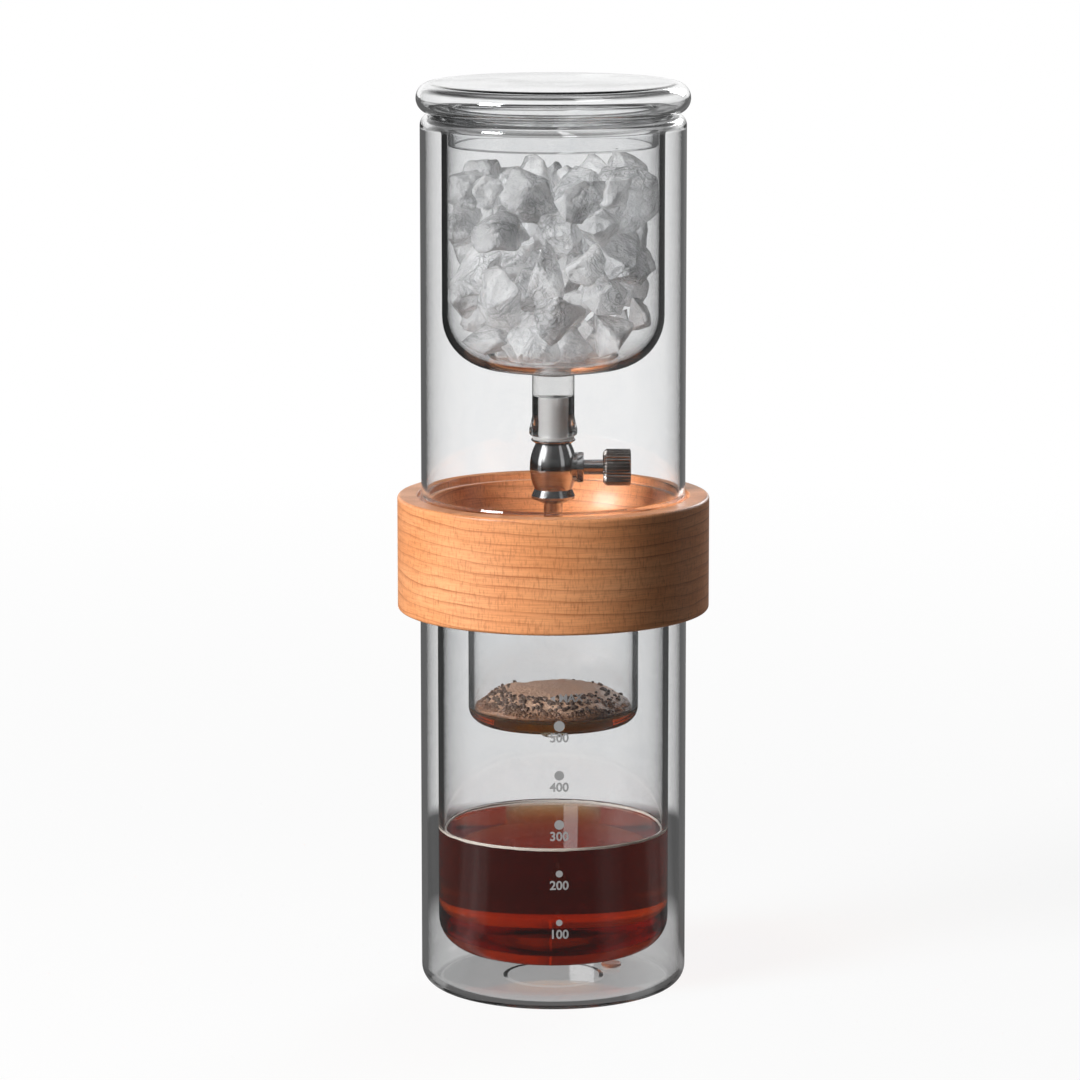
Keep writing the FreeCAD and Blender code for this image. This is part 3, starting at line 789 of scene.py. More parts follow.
@dataclass(frozen=True)
class GroundsFinish:
    """Wet ground coffee, pale where foam has risen and dark at its edge."""

    name: str
    foam: Colour = (0.56, 0.37, 0.26)
    wet: Colour = (0.20, 0.09, 0.04)
    grain: Colour = (0.045, 0.018, 0.009)
    foam_bottom: float = 0.1075
    foam_top: float = 0.1125

    def build(self, shop: "Workshop") -> Material:
        """Makes the material."""
        finish = Finish(self.name)
        place = finish.placed((1, 1, 1))
        patches = finish.noise(place, scale=70.0, detail=5.0, roughness=0.6)
        bits = finish.add("TexVoronoi", {"Vector": place, "Scale": 900.0})
        height = finish.add("SeparateXYZ", {0: place}).outputs["Z"]
        raised = finish.spread(height, 0.0, 1.0, self.foam_bottom, self.foam_top)
        foamy = finish.plus(raised, finish.times(patches, 0.9))
        foam_share = finish.spread(foamy, 0.0, 1.0, 0.65, 1.15)
        between = finish.spread(bits.outputs["Distance"], 0.0, 1.0, 0.1, 0.6)
        ground = finish.blend(between, self.grain, self.wet)
        finish.set(
            Base_Color=finish.blend(foam_share, ground, self.foam),
            Roughness=finish.spread(patches, 0.35, 0.7),
        )
        finish.bump(finish.plus(bits.outputs["Distance"], patches), 0.8, 0.5)
        return finish.material


@dataclass(frozen=True)
class PrintFinish:
    """Baked-on grey print."""

    name: str
    colour: Colour = (0.30, 0.30, 0.30)
    edge_colour: Colour = (0.42, 0.42, 0.42)

    def build(self, shop: "Workshop") -> Material:
        """Makes the material."""
        finish = Finish(self.name)
        spots = finish.noise(finish.placed((1, 1, 1)), scale=3000.0, detail=2.0)
        finish.set(
            Base_Color=finish.blend(spots, self.colour, self.edge_colour),
            Roughness=finish.spread(spots, 0.4, 0.65),
        )
        finish.bump(spots, 0.3, 0.02)
        return finish.material


class Workshop:
    """The shared node groups and every finish of the tower."""

    def __init__(self) -> None:
        """Builds the groups, then the finishes."""
        self.flow = flow_group()
        self.handled = handled_group()
        self.grain = grain_group()
        thin = (8.0, 7.7, 7.6)
        self.carafe_glass = GlassFinish("carafe_glass").build(self)
        self.chamber_glass = GlassFinish("chamber_glass", thin).build(self)
        self.cup_glass = GlassFinish("cup_glass", thin).build(self)
        self.lid_glass = GlassFinish("lid_glass", thin, waves=9.0, streaks=0.1).build(self)
        self.coffee = LiquidFinish("drip_coffee", (14.0, 52.0, 105.0)).build(self)
        self.amber = LiquidFinish("amber_brew", (14.0, 62.0, 260.0)).build(self)
        self.water = LiquidFinish("meltwater", (4.0, 3.2, 3.0)).build(self)
        self.ice = IceFinish("wet_ice").build(self)
        self.grounds = GroundsFinish("ground_coffee").build(self)
        self.granules = GroundsFinish("coffee_granules", foam=(0.085, 0.05, 0.035)).build(self)
        self.wood = WoodFinish("turned_wood").build(self)
        self.chrome = MetalFinish("valve_plating", (0.72, 0.72, 0.73), (0.6, 0.6, 0.6)).build(self)
        self.knob_metal = MetalFinish(
            "knob_metal", (0.40, 0.375, 0.36), (0.33, 0.30, 0.285), 0.16, 0.24, smudge_scale=9.0
        ).build(self)
        self.steel = MetalFinish(
            "stainless", (0.56, 0.56, 0.55), (0.45, 0.44, 0.43), 0.25, 0.4
        ).build(self)
        self.brass = MetalFinish(
            "brass", (0.72, 0.52, 0.24), (0.5, 0.34, 0.16), 0.2, 0.35
        ).build(self)
        self.silicone = RubberFinish(
            "milky_silicone", (0.82, 0.82, 0.81), (0.70, 0.70, 0.70), transmission=0.55
        ).build(self)
        self.foam = RubberFinish(
            "coffee_foam", (0.86, 0.83, 0.80), (0.74, 0.68, 0.62), transmission=0.3
        ).build(self)
        self.polymer = RubberFinish(
            "packing_polymer", (0.86, 0.86, 0.84), (0.76, 0.76, 0.74), transmission=0.0
        ).build(self)
        self.print = PrintFinish("print").build(self)


# Sub-assemblies


@dataclass
class Carafe:
    """Double-wall carafe with its vent plug, its measuring marks and the coffee in it."""

    wall: float = 2.2
    base: float = 2.6
    foot_round: float = 7.0
    bore_radius: float = 41.5
    vessel_wall: float = 2.0
    vessel_corner: float = 10.5
    gap_below: float = 11.4
    rim_thickness: float = 2.4
    rim_flat: float = 1.0
    punt_radius: float = 19.0
    punt_height: float = 0.8
    punt_edge: float = 1.5
    coffee_level: float = 60.0
    coffee_overlap: float = 0.15
    meniscus: float = 1.3
    foam_radius: float = 0.5
    foam_gap: float = 0.05
    foam_unevenness: float = 0.25
    mark_levels: dict[str, float] = field(
        default_factory=lambda: {"100": 34.7, "200": 53.3, "300": 71.9, "400": 90.5, "500": 109.1}
    )
    mark_across: float = 2.2
    mark_gap: float = 2.9
    mark_height: float = 3.3
    dot_radii: dict[str, float] = field(
        default_factory=lambda: {"100": 1.2, "200": 1.3, "300": 1.8, "400": 1.8, "500": 2.0}
    )
    plug_shank_radius: float = 2.6
    plug_dish: float = 0.5

    def __post_init__(self) -> None:
        """Reads the outer sizes from the frame."""
        _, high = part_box("carafe")
        self.radius = high.x / MM
        self.height = high.z / MM

    def glass(self, shop: Workshop) -> None:
        """Builds the two glass walls; no vent hole is cut for the plug."""
        rim_round = (self.radius - self.bore_radius - self.rim_flat) / 2
        floor = self.base + self.gap_below + self.vessel_wall
        skin = turned([
            (0, self.punt_height),
            (self.punt_radius - self.punt_edge, self.punt_height, 0.8),
            (self.punt_radius, 0, 0.8),
            (self.radius, 0, self.foot_round),
            (self.radius, self.height, rim_round),
            (self.bore_radius, self.height, rim_round),
            (self.bore_radius, floor, self.vessel_corner),
            (0, floor),
        ], closed=False)
        space_radius = self.radius - self.wall
        vessel_radius = self.bore_radius + self.vessel_wall
        space_top = self.height - self.rim_thickness
        space_round = (space_radius - vessel_radius) / 2
        under = self.base + self.gap_below
        space = turned([
            (0, self.base),
            (space_radius, self.base, self.foot_round - self.wall),
            (space_radius, space_top, space_round),
            (vessel_radius, space_top, space_round),
            (vessel_radius, under, self.vessel_corner + self.vessel_wall),
            (0, under),
        ], closed=False, inward=True)
        show(
            "carafe_blown", merged([skin, space]), shop.carafe_glass, Body.CARAFE, "carafe_glass", "carafe"
        )

    def vent_plug(self, shop: Workshop) -> None:
        """Builds the silicone plug in the base."""
        low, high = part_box("carafe_vent_plug")
        centre = (low + high) / 2
        lip = (high.x - low.x) / 2 / MM
        shank = self.plug_shank_radius
        end = low.z / MM
        top = high.z / MM
        bm = turned([
            (0, end + self.plug_dish),
            (shank - 0.9, end + self.plug_dish, 0.3),
            (shank - 0.6, end),
            (shank, end, 0.2),
            (shank, self.base),
            (lip, self.base, 0.2),
            (lip, top, 0.5),
            (0, top),
        ], closed=False, steps=48)
        bmesh.ops.translate(bm, verts=bm.verts, vec=(centre.x, centre.y, 0))
        show(
            "vent_plug_moulded", bm, shop.silicone, Body.CARAFE, "vent_silicone", "carafe_vent_plug"
        )

    def coffee(self, shop: Workshop) -> None:
        """Builds the brewed coffee, a little larger than the bore, with a curved edge."""
        floor = self.base + self.gap_below + self.vessel_wall - self.coffee_overlap
        radius = self.bore_radius + self.coffee_overlap
        level = self.coffee_level
        bm = turned([
            (0, floor),
            (radius, floor, self.vessel_corner),
            (radius, level + self.meniscus),
            (radius - self.coffee_overlap, level + self.meniscus),
            (radius - self.meniscus * 1.1, level, self.meniscus * 1.4),
            (0, level),
        ], closed=False)
        show("coffee", bm, shop.coffee, Body.CARAFE, "carafe_glass")

    def foam_line(self, shop: Workshop) -> None:
        """Builds the thin line of bubbles where the coffee meets the wall."""
        middle = self.bore_radius - self.foam_radius - self.foam_gap
        level = self.coffee_level + self.foam_radius
        half = self.foam_radius * 0.7
        bm = turned([
            (middle + half, level + half),
            (middle, level + self.foam_radius, "through"),
            (middle - half, level + half),
            (middle - half, level - half),
            (middle + half, level - half),
        ])
        for vert in bm.verts:
            vert.co.z += noise.noise(vert.co * 260) * self.foam_unevenness * MM
        show("foam_line", bm, shop.foam, Body.CARAFE, "carafe_glass")

    def marks(self, shop: Workshop) -> None:
        """Prints the measuring marks on the front of the carafe."""
        radius = self.radius + PRINT_PROUD_MM
        for label, level in self.mark_levels.items():
            dot = printed_dot(self.dot_radii[label])
            wrap(dot, radius, self.mark_across, level)
            show(f"dot_{label}", dot, shop.print, Body.CARAFE, "carafe_glass")
            text = printed_text(label, self.mark_height)
            wrap(text, radius, self.mark_across, level - self.mark_gap - self.mark_height / 2)
            show(f"mark_{label}", text, shop.print, Body.CARAFE, "carafe_glass")

    def build(self, shop: Workshop) -> None:
        """Builds and dresses the carafe."""
        self.glass(shop)
        self.vent_plug(shop)
        self.coffee(shop)
        self.foam_line(shop)
        self.marks(shop)


def printed_dot(radius_mm: float) -> BMesh:
    """A thin round dot in the XZ plane.

    Args:
        radius_mm: the dot's radius.

    Returns:
        Its mesh, facing -Y.
    """
    radius = radius_mm * MM
    bm = bmesh.new()
    bmesh.ops.create_circle(bm, cap_ends=True, segments=48, radius=radius, matrix=UPRIGHT)
    bmesh.ops.inset_region(bm, faces=bm.faces, thickness=radius * 0.3)
    bmesh.ops.solidify(bm, geom=bm.faces, thickness=PRINT_THICKNESS_MM * MM)
    bmesh.ops.recalc_face_normals(bm, faces=bm.faces)
    return bm


def printed_arrow(radius_mm: float) -> BMesh:
    """A thin triangle in the XZ plane that points up.

    Args:
        radius_mm: how far its corners stand from its centre.

    Returns:
        Its mesh, facing -Y.
    """
    bm = bmesh.new()
    bmesh.ops.create_circle(bm, cap_ends=True, segments=3, radius=radius_mm * MM, matrix=UPRIGHT)
    bmesh.ops.rotate(bm, verts=bm.verts, matrix=Matrix.Rotation(-math.pi / 2, 3, "Y"))
    bmesh.ops.solidify(bm, geom=bm.faces, thickness=PRINT_THICKNESS_MM * MM)
    bmesh.ops.recalc_face_normals(bm, faces=bm.faces)
    return bm


def printed_text(label: str, height_mm: float) -> BMesh:
    """Thin plain lettering in the XZ plane, centred on the origin.

    Args:
        label: the figures or word.
        height_mm: height of the figures.

    Returns:
        Its mesh, facing -Y.
    """
    curve = bpy.data.curves.new("lettering", "FONT")
    curve.body = label
    curve.size = height_mm * MM / FONT_FIGURE_SHARE
    curve.align_x = "CENTER"
    curve.align_y = "CENTER"
    curve.offset = height_mm * MM * FONT_WEIGHT_SHARE
    curve.extrude = PRINT_THICKNESS_MM * MM / 2
    curve.resolution_u = 4
    holder = bpy.data.objects.new("lettering", curve)
    bpy.context.scene.collection.objects.link(holder)
    graph = bpy.context.evaluated_depsgraph_get()
    mesh = bpy.data.meshes.new_from_object(holder.evaluated_get(graph))
    bm = bmesh.new()
    bm.from_mesh(mesh)
    bpy.data.objects.remove(holder)
    bpy.data.curves.remove(curve)
    bpy.data.meshes.remove(mesh)
    bmesh.ops.remove_doubles(bm, verts=bm.verts, dist=MERGE_DISTANCE)
    bmesh.ops.rotate(bm, verts=bm.verts, matrix=Matrix.Rotation(math.pi / 2, 3, "X"))
    bmesh.ops.recalc_face_normals(bm, faces=bm.faces)
    return bm


def wrap(bm: BMesh, radius: float, across: float, height: float) -> None:
    """Bends a flat print onto the front of an upright cylinder.

    Args:
        bm: the print, in the XZ plane.
        radius: radius of the print's middle, in millimetres.
        across: how far right of the front it stands along the surface, in millimetres.
        height: height of its centre, in millimetres.
    """
    for vert in bm.verts:
        angle = (vert.co.x + across * MM) / (radius * MM)
        reach = radius * MM - vert.co.y
        z = vert.co.z + height * MM
        vert.co = Vector((math.sin(angle) * reach, -math.cos(angle) * reach, z))


@dataclass
class Collar:
    """Turned wooden collar."""

    edge_round: float = 1.2
    inner_edge_round: float = 0.5
    carafe_recess_radius: float = 51.0
    carafe_recess_depth: float = 8.0
    mouth_boss_radius: float = 40.9
    chamber_recess_radius: float = 51.0
    chamber_recess_depth: float = 2.0
    dish_top_radius: float = 46.2
    dish_depth: float = 19.5
    dish_sag: float = 2.0
    flange_recess_radius: float = 37.0
    flange_recess_depth: float = 2.8
    bore_radius: float = 32.6

    def build(self, shop: Workshop) -> None:
        """Builds and dresses the collar."""
        low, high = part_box("wood_collar")
        radius, bottom, top = high.x / MM, low.z / MM, high.z / MM
        ledge = top - self.chamber_recess_depth
        dish_bottom = ledge - self.dish_depth
        width = self.dish_top_radius - self.flange_recess_radius
        chord = math.hypot(width, self.dish_depth)
        middle = (self.dish_top_radius + self.flange_recess_radius) / 2
        sag_out = self.dish_sag * self.dish_depth / chord
        sag_down = self.dish_sag * width / chord
        bm = turned([
            (radius, bottom, self.edge_round),
            (radius, top, self.edge_round),
            (self.chamber_recess_radius, top, self.inner_edge_round),
            (self.chamber_recess_radius, ledge, self.inner_edge_round),
            (self.dish_top_radius, ledge),
            (middle + sag_out, ledge - self.dish_depth / 2 - sag_down, "through"),
            (self.flange_recess_radius, dish_bottom),
            (self.flange_recess_radius, dish_bottom - self.flange_recess_depth),
            (self.bore_radius, dish_bottom - self.flange_recess_depth, self.inner_edge_round),
            (self.bore_radius, bottom, self.inner_edge_round),
            (self.mouth_boss_radius, bottom, self.inner_edge_round),
            (self.mouth_boss_radius, bottom + self.carafe_recess_depth),
            (self.carafe_recess_radius, bottom + self.carafe_recess_depth),
            (self.carafe_recess_radius, bottom, self.inner_edge_round),
        ])
        show("collar_turned", bm, shop.wood, Body.COLLAR, "collar_wood", "wood_collar")


@dataclass
class BrewCup:
    """Brew cup with the ground coffee, the liquid under it and the fill mark."""

    radius: float = 32.0
    wall: float = 2.0
    corner: float = 6.0
    flange_thickness: float = 2.8
    flange_round: float = 1.1
    spout_radius: float = 4.6
    spout_bore: float = 2.3
    spout_length: float = 6.0
    liquid_level: float = 3.4
    grounds_edge: float = 4.6
    grounds_crown: float = 10.4
    overlap: float = 0.12
    granule_count: int = 760
    granule_heading: float = math.radians(-112)
    fill_mark_level: float = 116.0
    fill_mark_height: float = 2.9
    fill_mark_across: float = 6.5
    arrow_across: float = 0.0
    arrow_radius: float = 1.3
    grounds_clearance: float = 0.25
    grounds_underside: float = 2.2
    grounds_rings: int = 40

    def __post_init__(self) -> None:
        """Reads heights and flange from the frame."""
        low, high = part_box("brew_cup")
        self.flange_radius = high.x / MM
        self.top = high.z / MM
        self.bottom = low.z / MM + self.spout_length
        self.floor = self.bottom + self.wall
        self.bore = self.radius - self.wall

    def glass(self, shop: Workshop) -> None:
        """Builds the cup."""
        spout_end = self.bottom - self.spout_length
        seat_level = self.top - self.flange_thickness
        bm = turned([
            (self.spout_bore, spout_end, 0.4),
            (self.spout_radius, spout_end, 0.9),
            (self.spout_radius, self.bottom, 1.5),
            (self.radius, self.bottom, self.corner),
            (self.radius, seat_level, 0.4),
            (self.flange_radius, seat_level, self.flange_round),
            (self.flange_radius, self.top, self.flange_round),
            (self.bore, self.top, self.flange_round),
            (self.bore, self.floor, self.corner - self.wall),
            (self.spout_bore, self.floor, 0.9),
        ])
        show("brew_cup_blown", bm, shop.cup_glass, Body.CUP, "cup_glass", "brew_cup")

    def surface_height(self, x: float, y: float) -> float:
        """Height of the grounds above the cup's floor, in millimetres, at a place in millimetres."""
        from_centre = math.hypot(x, y) / self.bore
        edge_wave = noise.noise(Vector((x * 0.07, y * 0.07, 3.1)))
        past_plateau = (from_centre - 0.55 - 0.16 * edge_wave) / 0.42
        plateau = 1 - min(1.0, max(0.0, past_plateau)) ** 1.6
        rough = 0.5 * noise.noise(Vector((x * 0.22, y * 0.22, 0.4)))
        crumbs = 0.35 * noise.noise(Vector((x * 0.9, y * 0.9, 5.0)))
        return self.grounds_edge + (self.grounds_crown - self.grounds_edge) * plateau + rough + crumbs

    def contents(self, shop: Workshop) -> None:
        """Builds the liquid, the grounds and the loose granules."""
        radius = self.bore + self.overlap
        low = self.floor - self.overlap
        level = self.floor + self.liquid_level
        liquid = turned([
            (0, low),
            (radius, low, self.corner - self.wall),
            (radius, level + 0.5),
            (radius - 1.2, level, 1.0),
            (0, level),
        ], closed=False)
        show("amber_brew", liquid, shop.amber, Body.CUP, "cup_glass")
        reach = self.bore - self.grounds_clearance
        count = self.grounds_rings
        underside = self.floor + self.grounds_underside
        edge = self.floor + self.grounds_edge
        mound = turned([
            (0, underside),
            (reach - 4.0, underside, 1.5),
            (reach, edge - 0.8),
            *((reach * ring / count, edge) for ring in range(count, 0, -1)),
            (0, edge),
        ], closed=False, steps=160)
        for vert in mound.verts:
            x, y, z = (value / MM for value in vert.co)
            if z > edge - 0.01:
                vert.co.z = (self.floor + self.surface_height(x, y)) * MM
        seat(piece("ground_coffee", mound, shop.grounds, math.radians(80)), Body.CUP, "cup_glass")
        self.granules(shop, reach)

    def granules(self, shop: Workshop, reach: float) -> None:
        """Scatters coarse granules round the edge of the grounds."""
        draw = random.Random(11)
        bm = bmesh.new()
        for _ in range(self.granule_count):
            angle = self.granule_heading + draw.gauss(0, 1) * 0.95
            from_centre = (reach - 1.1) * (1 - draw.random() ** 2.2 * 0.40)
            x, y = math.cos(angle) * from_centre, math.sin(angle) * from_centre
            size = draw.uniform(0.5, 1.15)
            sunk = max(0.0, (from_centre - reach + 3) * 0.2)
            z = self.floor + self.surface_height(x, y) + size * 0.1 - sunk
            start = len(bm.verts)
            bmesh.ops.create_icosphere(bm, subdivisions=1, radius=size * MM)
            bm.verts.ensure_lookup_table()
            made = bm.verts[start:]
            spin = draw.uniform(0, math.pi)
            turn = Matrix.Rotation(spin, 3, Vector((draw.random(), draw.random(), 1)))
            for vert in made:
                vert.co = turn @ Vector((vert.co.x, vert.co.y * 0.75, vert.co.z * 0.7))
                vert.co *= 1 + 0.35 * noise.noise(vert.co * 900 + Vector((x, y, 0)))
                vert.co += Vector((x, y, z)) * MM
        made = piece("coffee_granules", bm, shop.granules, math.radians(50))
        seat(made, Body.CUP, "cup_glass")

    def fill_mark(self, shop: Workshop) -> None:
        """Prints the fill mark on the front of the cup."""
        radius = self.radius + PRINT_PROUD_MM
        word = printed_text("MAX", self.fill_mark_height)
        wrap(word, radius, self.fill_mark_across, self.fill_mark_level)
        show("mark_fill", word, shop.print, Body.CUP, "cup_glass")
        arrow = printed_arrow(self.arrow_radius)
        wrap(arrow, radius, self.arrow_across, self.fill_mark_level)
        show("arrow_fill", arrow, shop.print, Body.CUP, "cup_glass")

    def build(self, shop: Workshop) -> None:
        """Builds and dresses the cup."""
        self.glass(shop)
        self.contents(shop)
        self.fill_mark(shop)
        dress_node("filter_screen", shop.steel)
        dress_node("filter_gasket", shop.silicone)


def dress_node(node: str, material: Material) -> None:
    """Gives a solid of the frame its finish.

    Args:
        node: the solid's name.
        material: the finish.
    """
    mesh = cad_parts[node].data
    mesh.materials.clear()
    mesh.materials.append(material)


@dataclass
class IceChamber:
    """Double-wall chamber of ice with its nozzle, its sleeve and what it holds."""

    collar_recess: float = 2.0
    shell_wall: float = 2.0
    bead_step: float = 0.3
    bead_height: float = 3.2
    bead_round: float = 0.9
    bore: float = 39.5
    cup_wall: float = 2.0
    cup_corner: float = 17.75
    depth: float = 94.8
    floor_slope: float = 0.13
    rim_thickness: float = 2.4
    rim_flat: float = 1.0
    nozzle_radius: float = 7.9
    nozzle_bore: float = 5.75
    nozzle_length: float = 23.7
    flare_radius: float = 9.0
    flare_height: float = 7.0
    sleeve_bore: float = 3.6
    sleeve_flange: float = 1.4
    sleeve_gap: float = 0.01
    ice_clearance: float = 0.25
    water_overlap: float = 0.12
    water_depth: float = 3.2
    ice_top_below_rim: float = 21.0
    chunk_count: int = 74
    chunk_low: float = 6.0
    chunk_high: float = 12.5
    packing_rounds: int = 90

    def __post_init__(self) -> None:
        """Reads the outer sizes from the frame."""
        _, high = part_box("ice_chamber")
        self.bead_radius = high.x / MM
        self.top = high.z / MM
        self.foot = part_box("wood_collar")[1].z / MM - self.collar_recess
        self.floor = self.top - self.depth

    def glass(self, shop: Workshop) -> None:
        """Builds shell, ice cup and nozzle."""
        radius = self.bead_radius - self.bead_step
        shell_bore = radius - self.shell_wall
        cup_radius = self.bore + self.cup_wall
        bead_bore = shell_bore - self.bead_step
        bead_top = self.foot + self.bead_height
        rim_round = (radius - self.bore - self.rim_flat) / 2
        space_top = self.top - self.rim_thickness
        space_round = (shell_bore - cup_radius) / 2
        rise = self.floor_slope * (self.bore - self.nozzle_bore)
        root = self.floor - self.cup_wall
        root_rise = self.floor_slope * (cup_radius - self.nozzle_radius)
        nozzle_end = root - self.nozzle_length
        bm = turned([
            (bead_bore, self.foot, self.bead_round),
            (self.bead_radius, self.foot, self.bead_round),
            (self.bead_radius, bead_top - 1.0, 1.0),
            (radius, bead_top, 1.0),
            (radius, self.top, rim_round),
            (self.bore, self.top, rim_round),
            (self.bore, self.floor + rise, self.cup_corner),
            (self.nozzle_bore, self.floor, 1.5),
            (self.nozzle_bore, nozzle_end, 0.9),
            (self.flare_radius, nozzle_end, 0.9),
            (self.flare_radius, nozzle_end + 2.3, 0.9),
            (self.nozzle_radius, nozzle_end + self.flare_height, 7.0),
            (self.nozzle_radius, root, 1.2),
            (cup_radius, root + root_rise, self.cup_corner + self.cup_wall),
            (cup_radius, space_top, space_round),
            (shell_bore, space_top, space_round),
            (shell_bore, bead_top, 1.0),
            (bead_bore, bead_top - 1.0, 1.0),
        ])
        show(
            "ice_chamber_blown", bm, shop.chamber_glass, Body.CHAMBER, "chamber_glass", "ice_chamber"
        )

    def sleeve(self, shop: Workshop) -> None:
        """Builds the silicone sleeve."""
        low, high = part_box("outlet_sleeve")
        flange, bottom, top = high.x / MM, low.z / MM, high.z / MM
        flange_top = bottom + self.sleeve_flange
        radius = self.nozzle_bore - self.sleeve_gap
        bm = turned([
            (self.sleeve_bore, bottom),
            (flange, bottom, 0.5),
            (flange, flange_top, 0.5),
            (radius, flange_top),
            (radius, top, 0.5),
            (self.sleeve_bore, top, 0.5),
        ], steps=SMALL_TURNING_STEPS)
        show("sleeve_moulded", bm, shop.silicone, Body.CHAMBER, "sleeve_silicone", "outlet_sleeve")

    def wall_at(self, z: float) -> float:
        """Radius of the ice cup's bore at a height, in millimetres."""
        corner_centre = self.bore - self.cup_corner
        rise = self.floor_slope * (self.bore - self.nozzle_bore)
        centre_z = self.floor + rise + self.cup_corner
        if z >= centre_z:
            return self.bore
        drop = min(1.0, (centre_z - z) / self.cup_corner)
        return corner_centre + self.cup_corner * math.sqrt(max(0.0, 1 - drop * drop))

    def floor_at(self, from_centre: float) -> float:
        """Height of the ice cup's floor at a radius, in millimetres."""
        corner_centre = self.bore - self.cup_corner
        rise = self.floor_slope * (self.bore - self.nozzle_bore)
        if from_centre <= corner_centre:
            return self.floor + self.floor_slope * max(0.0, from_centre - self.nozzle_bore)
        over = min(1.0, (from_centre - corner_centre) / self.cup_corner)
        return self.floor + rise + self.cup_corner * (1 - math.sqrt(max(0.0, 1 - over * over)))

    def packed_places(self) -> list[tuple[Vector, float]]:
        """Packs balls in the ice cup by letting them push each other apart.

        Returns:
            Centre and radius of each, in millimetres.
        """
        draw = random.Random(5)
        top = self.top - self.ice_top_below_rim
        balls = []
        for _ in range(self.chunk_count):
            size = draw.uniform(self.chunk_low, self.chunk_high)
            angle = draw.uniform(0, 2 * math.pi)
            from_centre = math.sqrt(draw.random()) * (self.bore - size)
            x, y = math.cos(angle) * from_centre, math.sin(angle) * from_centre
            balls.append((Vector((x, y, draw.uniform(self.floor + 8, top))), size))
        for _ in range(self.packing_rounds):
            for i, (first, a) in enumerate(balls):
                for second, b in balls[i + 1:]:
                    apart = second - first
                    overlap = (a + b) * 0.93 - apart.length
                    if overlap > 0:
                        push = apart.normalized() * overlap * 0.5
                        first -= push
                        second += push
            for place, size in balls:
                place.z -= 0.12
                across = Vector((place.x, place.y))
                limit = self.wall_at(place.z - size * 0.5) - size * 0.9
                if across.length > limit:
                    across = across.normalized() * max(0.0, limit)
                    place.x, place.y = across
                low = self.floor_at(across.length) + size * 0.85
                place.z = min(max(place.z, low), top - size * 0.8)
        return balls

    def chunk(self, centre: Vector, size: float, draw: random.Random) -> BMesh:
        """One broken lump of ice with its edges softened by melting.

        Args:
            centre: its centre, in millimetres.
            size: its radius, in millimetres.
            draw: source of random numbers.

        Returns:
            Its mesh.
        """
        bm = bmesh.new()
        stretch = Vector([draw.uniform(0.75, 1.25) for _ in range(3)])
        angle = draw.uniform(0, math.pi)
        axis = Vector((draw.random(), draw.random(), draw.random() + 0.1))
        turn = Matrix.Rotation(angle, 3, axis)
        for _ in range(draw.randint(11, 17)):
            facing = Vector([draw.gauss(0, 1) for _ in range(3)]).normalized()
            bm.verts.new(turn @ (facing * stretch) * size * draw.uniform(0.95, 1.3))
        hull = bmesh.ops.convex_hull(bm, input=bm.verts)
        spare = hull["geom_interior"] + hull["geom_unused"]
        loose = {item for item in spare if isinstance(item, BMVert)}
        bmesh.ops.delete(bm, geom=list(loose), context="VERTS")
        bmesh.ops.bevel(
            bm,
            geom=bm.edges[:],
            offset=size * 0.09,
            affect="EDGES",
            segments=2,
            profile=0.5,
            material=-1,
            clamp_overlap=True,
        )
        bmesh.ops.triangulate(bm, faces=bm.faces)
        long_edges = [edge for edge in bm.edges if edge.calc_length() > size * 0.3]
        bmesh.ops.subdivide_edges(bm, edges=long_edges, cuts=3, use_grid_fill=True)
        bmesh.ops.triangulate(bm, faces=bm.faces)
        for vert in bm.verts:
            place = vert.co + centre
            place += noise.noise_vector(place * 0.16) * 0.9 + noise.noise_vector(place * 0.55) * 0.35
            across = math.hypot(place.x, place.y)
            limit = self.wall_at(place.z) - self.ice_clearance
            if across > limit:
                place.x *= limit / across
                place.y *= limit / across
                across = limit
            place.z = max(place.z, self.floor_at(across) + self.ice_clearance)
            vert.co = place * MM
        return bm

    def ice(self, shop: Workshop) -> None:
        """Builds the crushed ice."""
        draw = random.Random(8)
        lumps = [self.chunk(place, size, draw) for place, size in self.packed_places()]
        made = piece("crushed_ice", merged(lumps), shop.ice, math.radians(60))
        seat(made, Body.CHAMBER, "chamber_glass")

    def meltwater(self, shop: Workshop) -> None:
        """Builds the water that stands in the nozzle and on the floor of the ice cup."""
        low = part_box("outlet_sleeve")[1].z / MM
        neck = self.nozzle_bore + self.water_overlap
        floor = self.floor - self.water_overlap
        level = self.floor + self.water_depth
        reach = self.nozzle_bore + (self.water_depth + self.water_overlap) / self.floor_slope
        reach = min(reach, self.bore - self.cup_corner)
        rise = self.floor_slope * (reach - self.nozzle_bore)
        bm = turned([
            (0, low),
            (neck, low),
            (neck, floor, 1.5),
            (reach, floor + rise),
            (reach + 3.0, level),
            (0, level),
        ], closed=False, steps=SMALL_TURNING_STEPS)
        show("meltwater", bm, shop.water, Body.CHAMBER, "chamber_glass")

    def build(self, shop: Workshop) -> None:
        """Builds and dresses the chamber."""
        self.glass(shop)
        self.sleeve(shop)
        self.meltwater(shop)
        self.ice(shop)


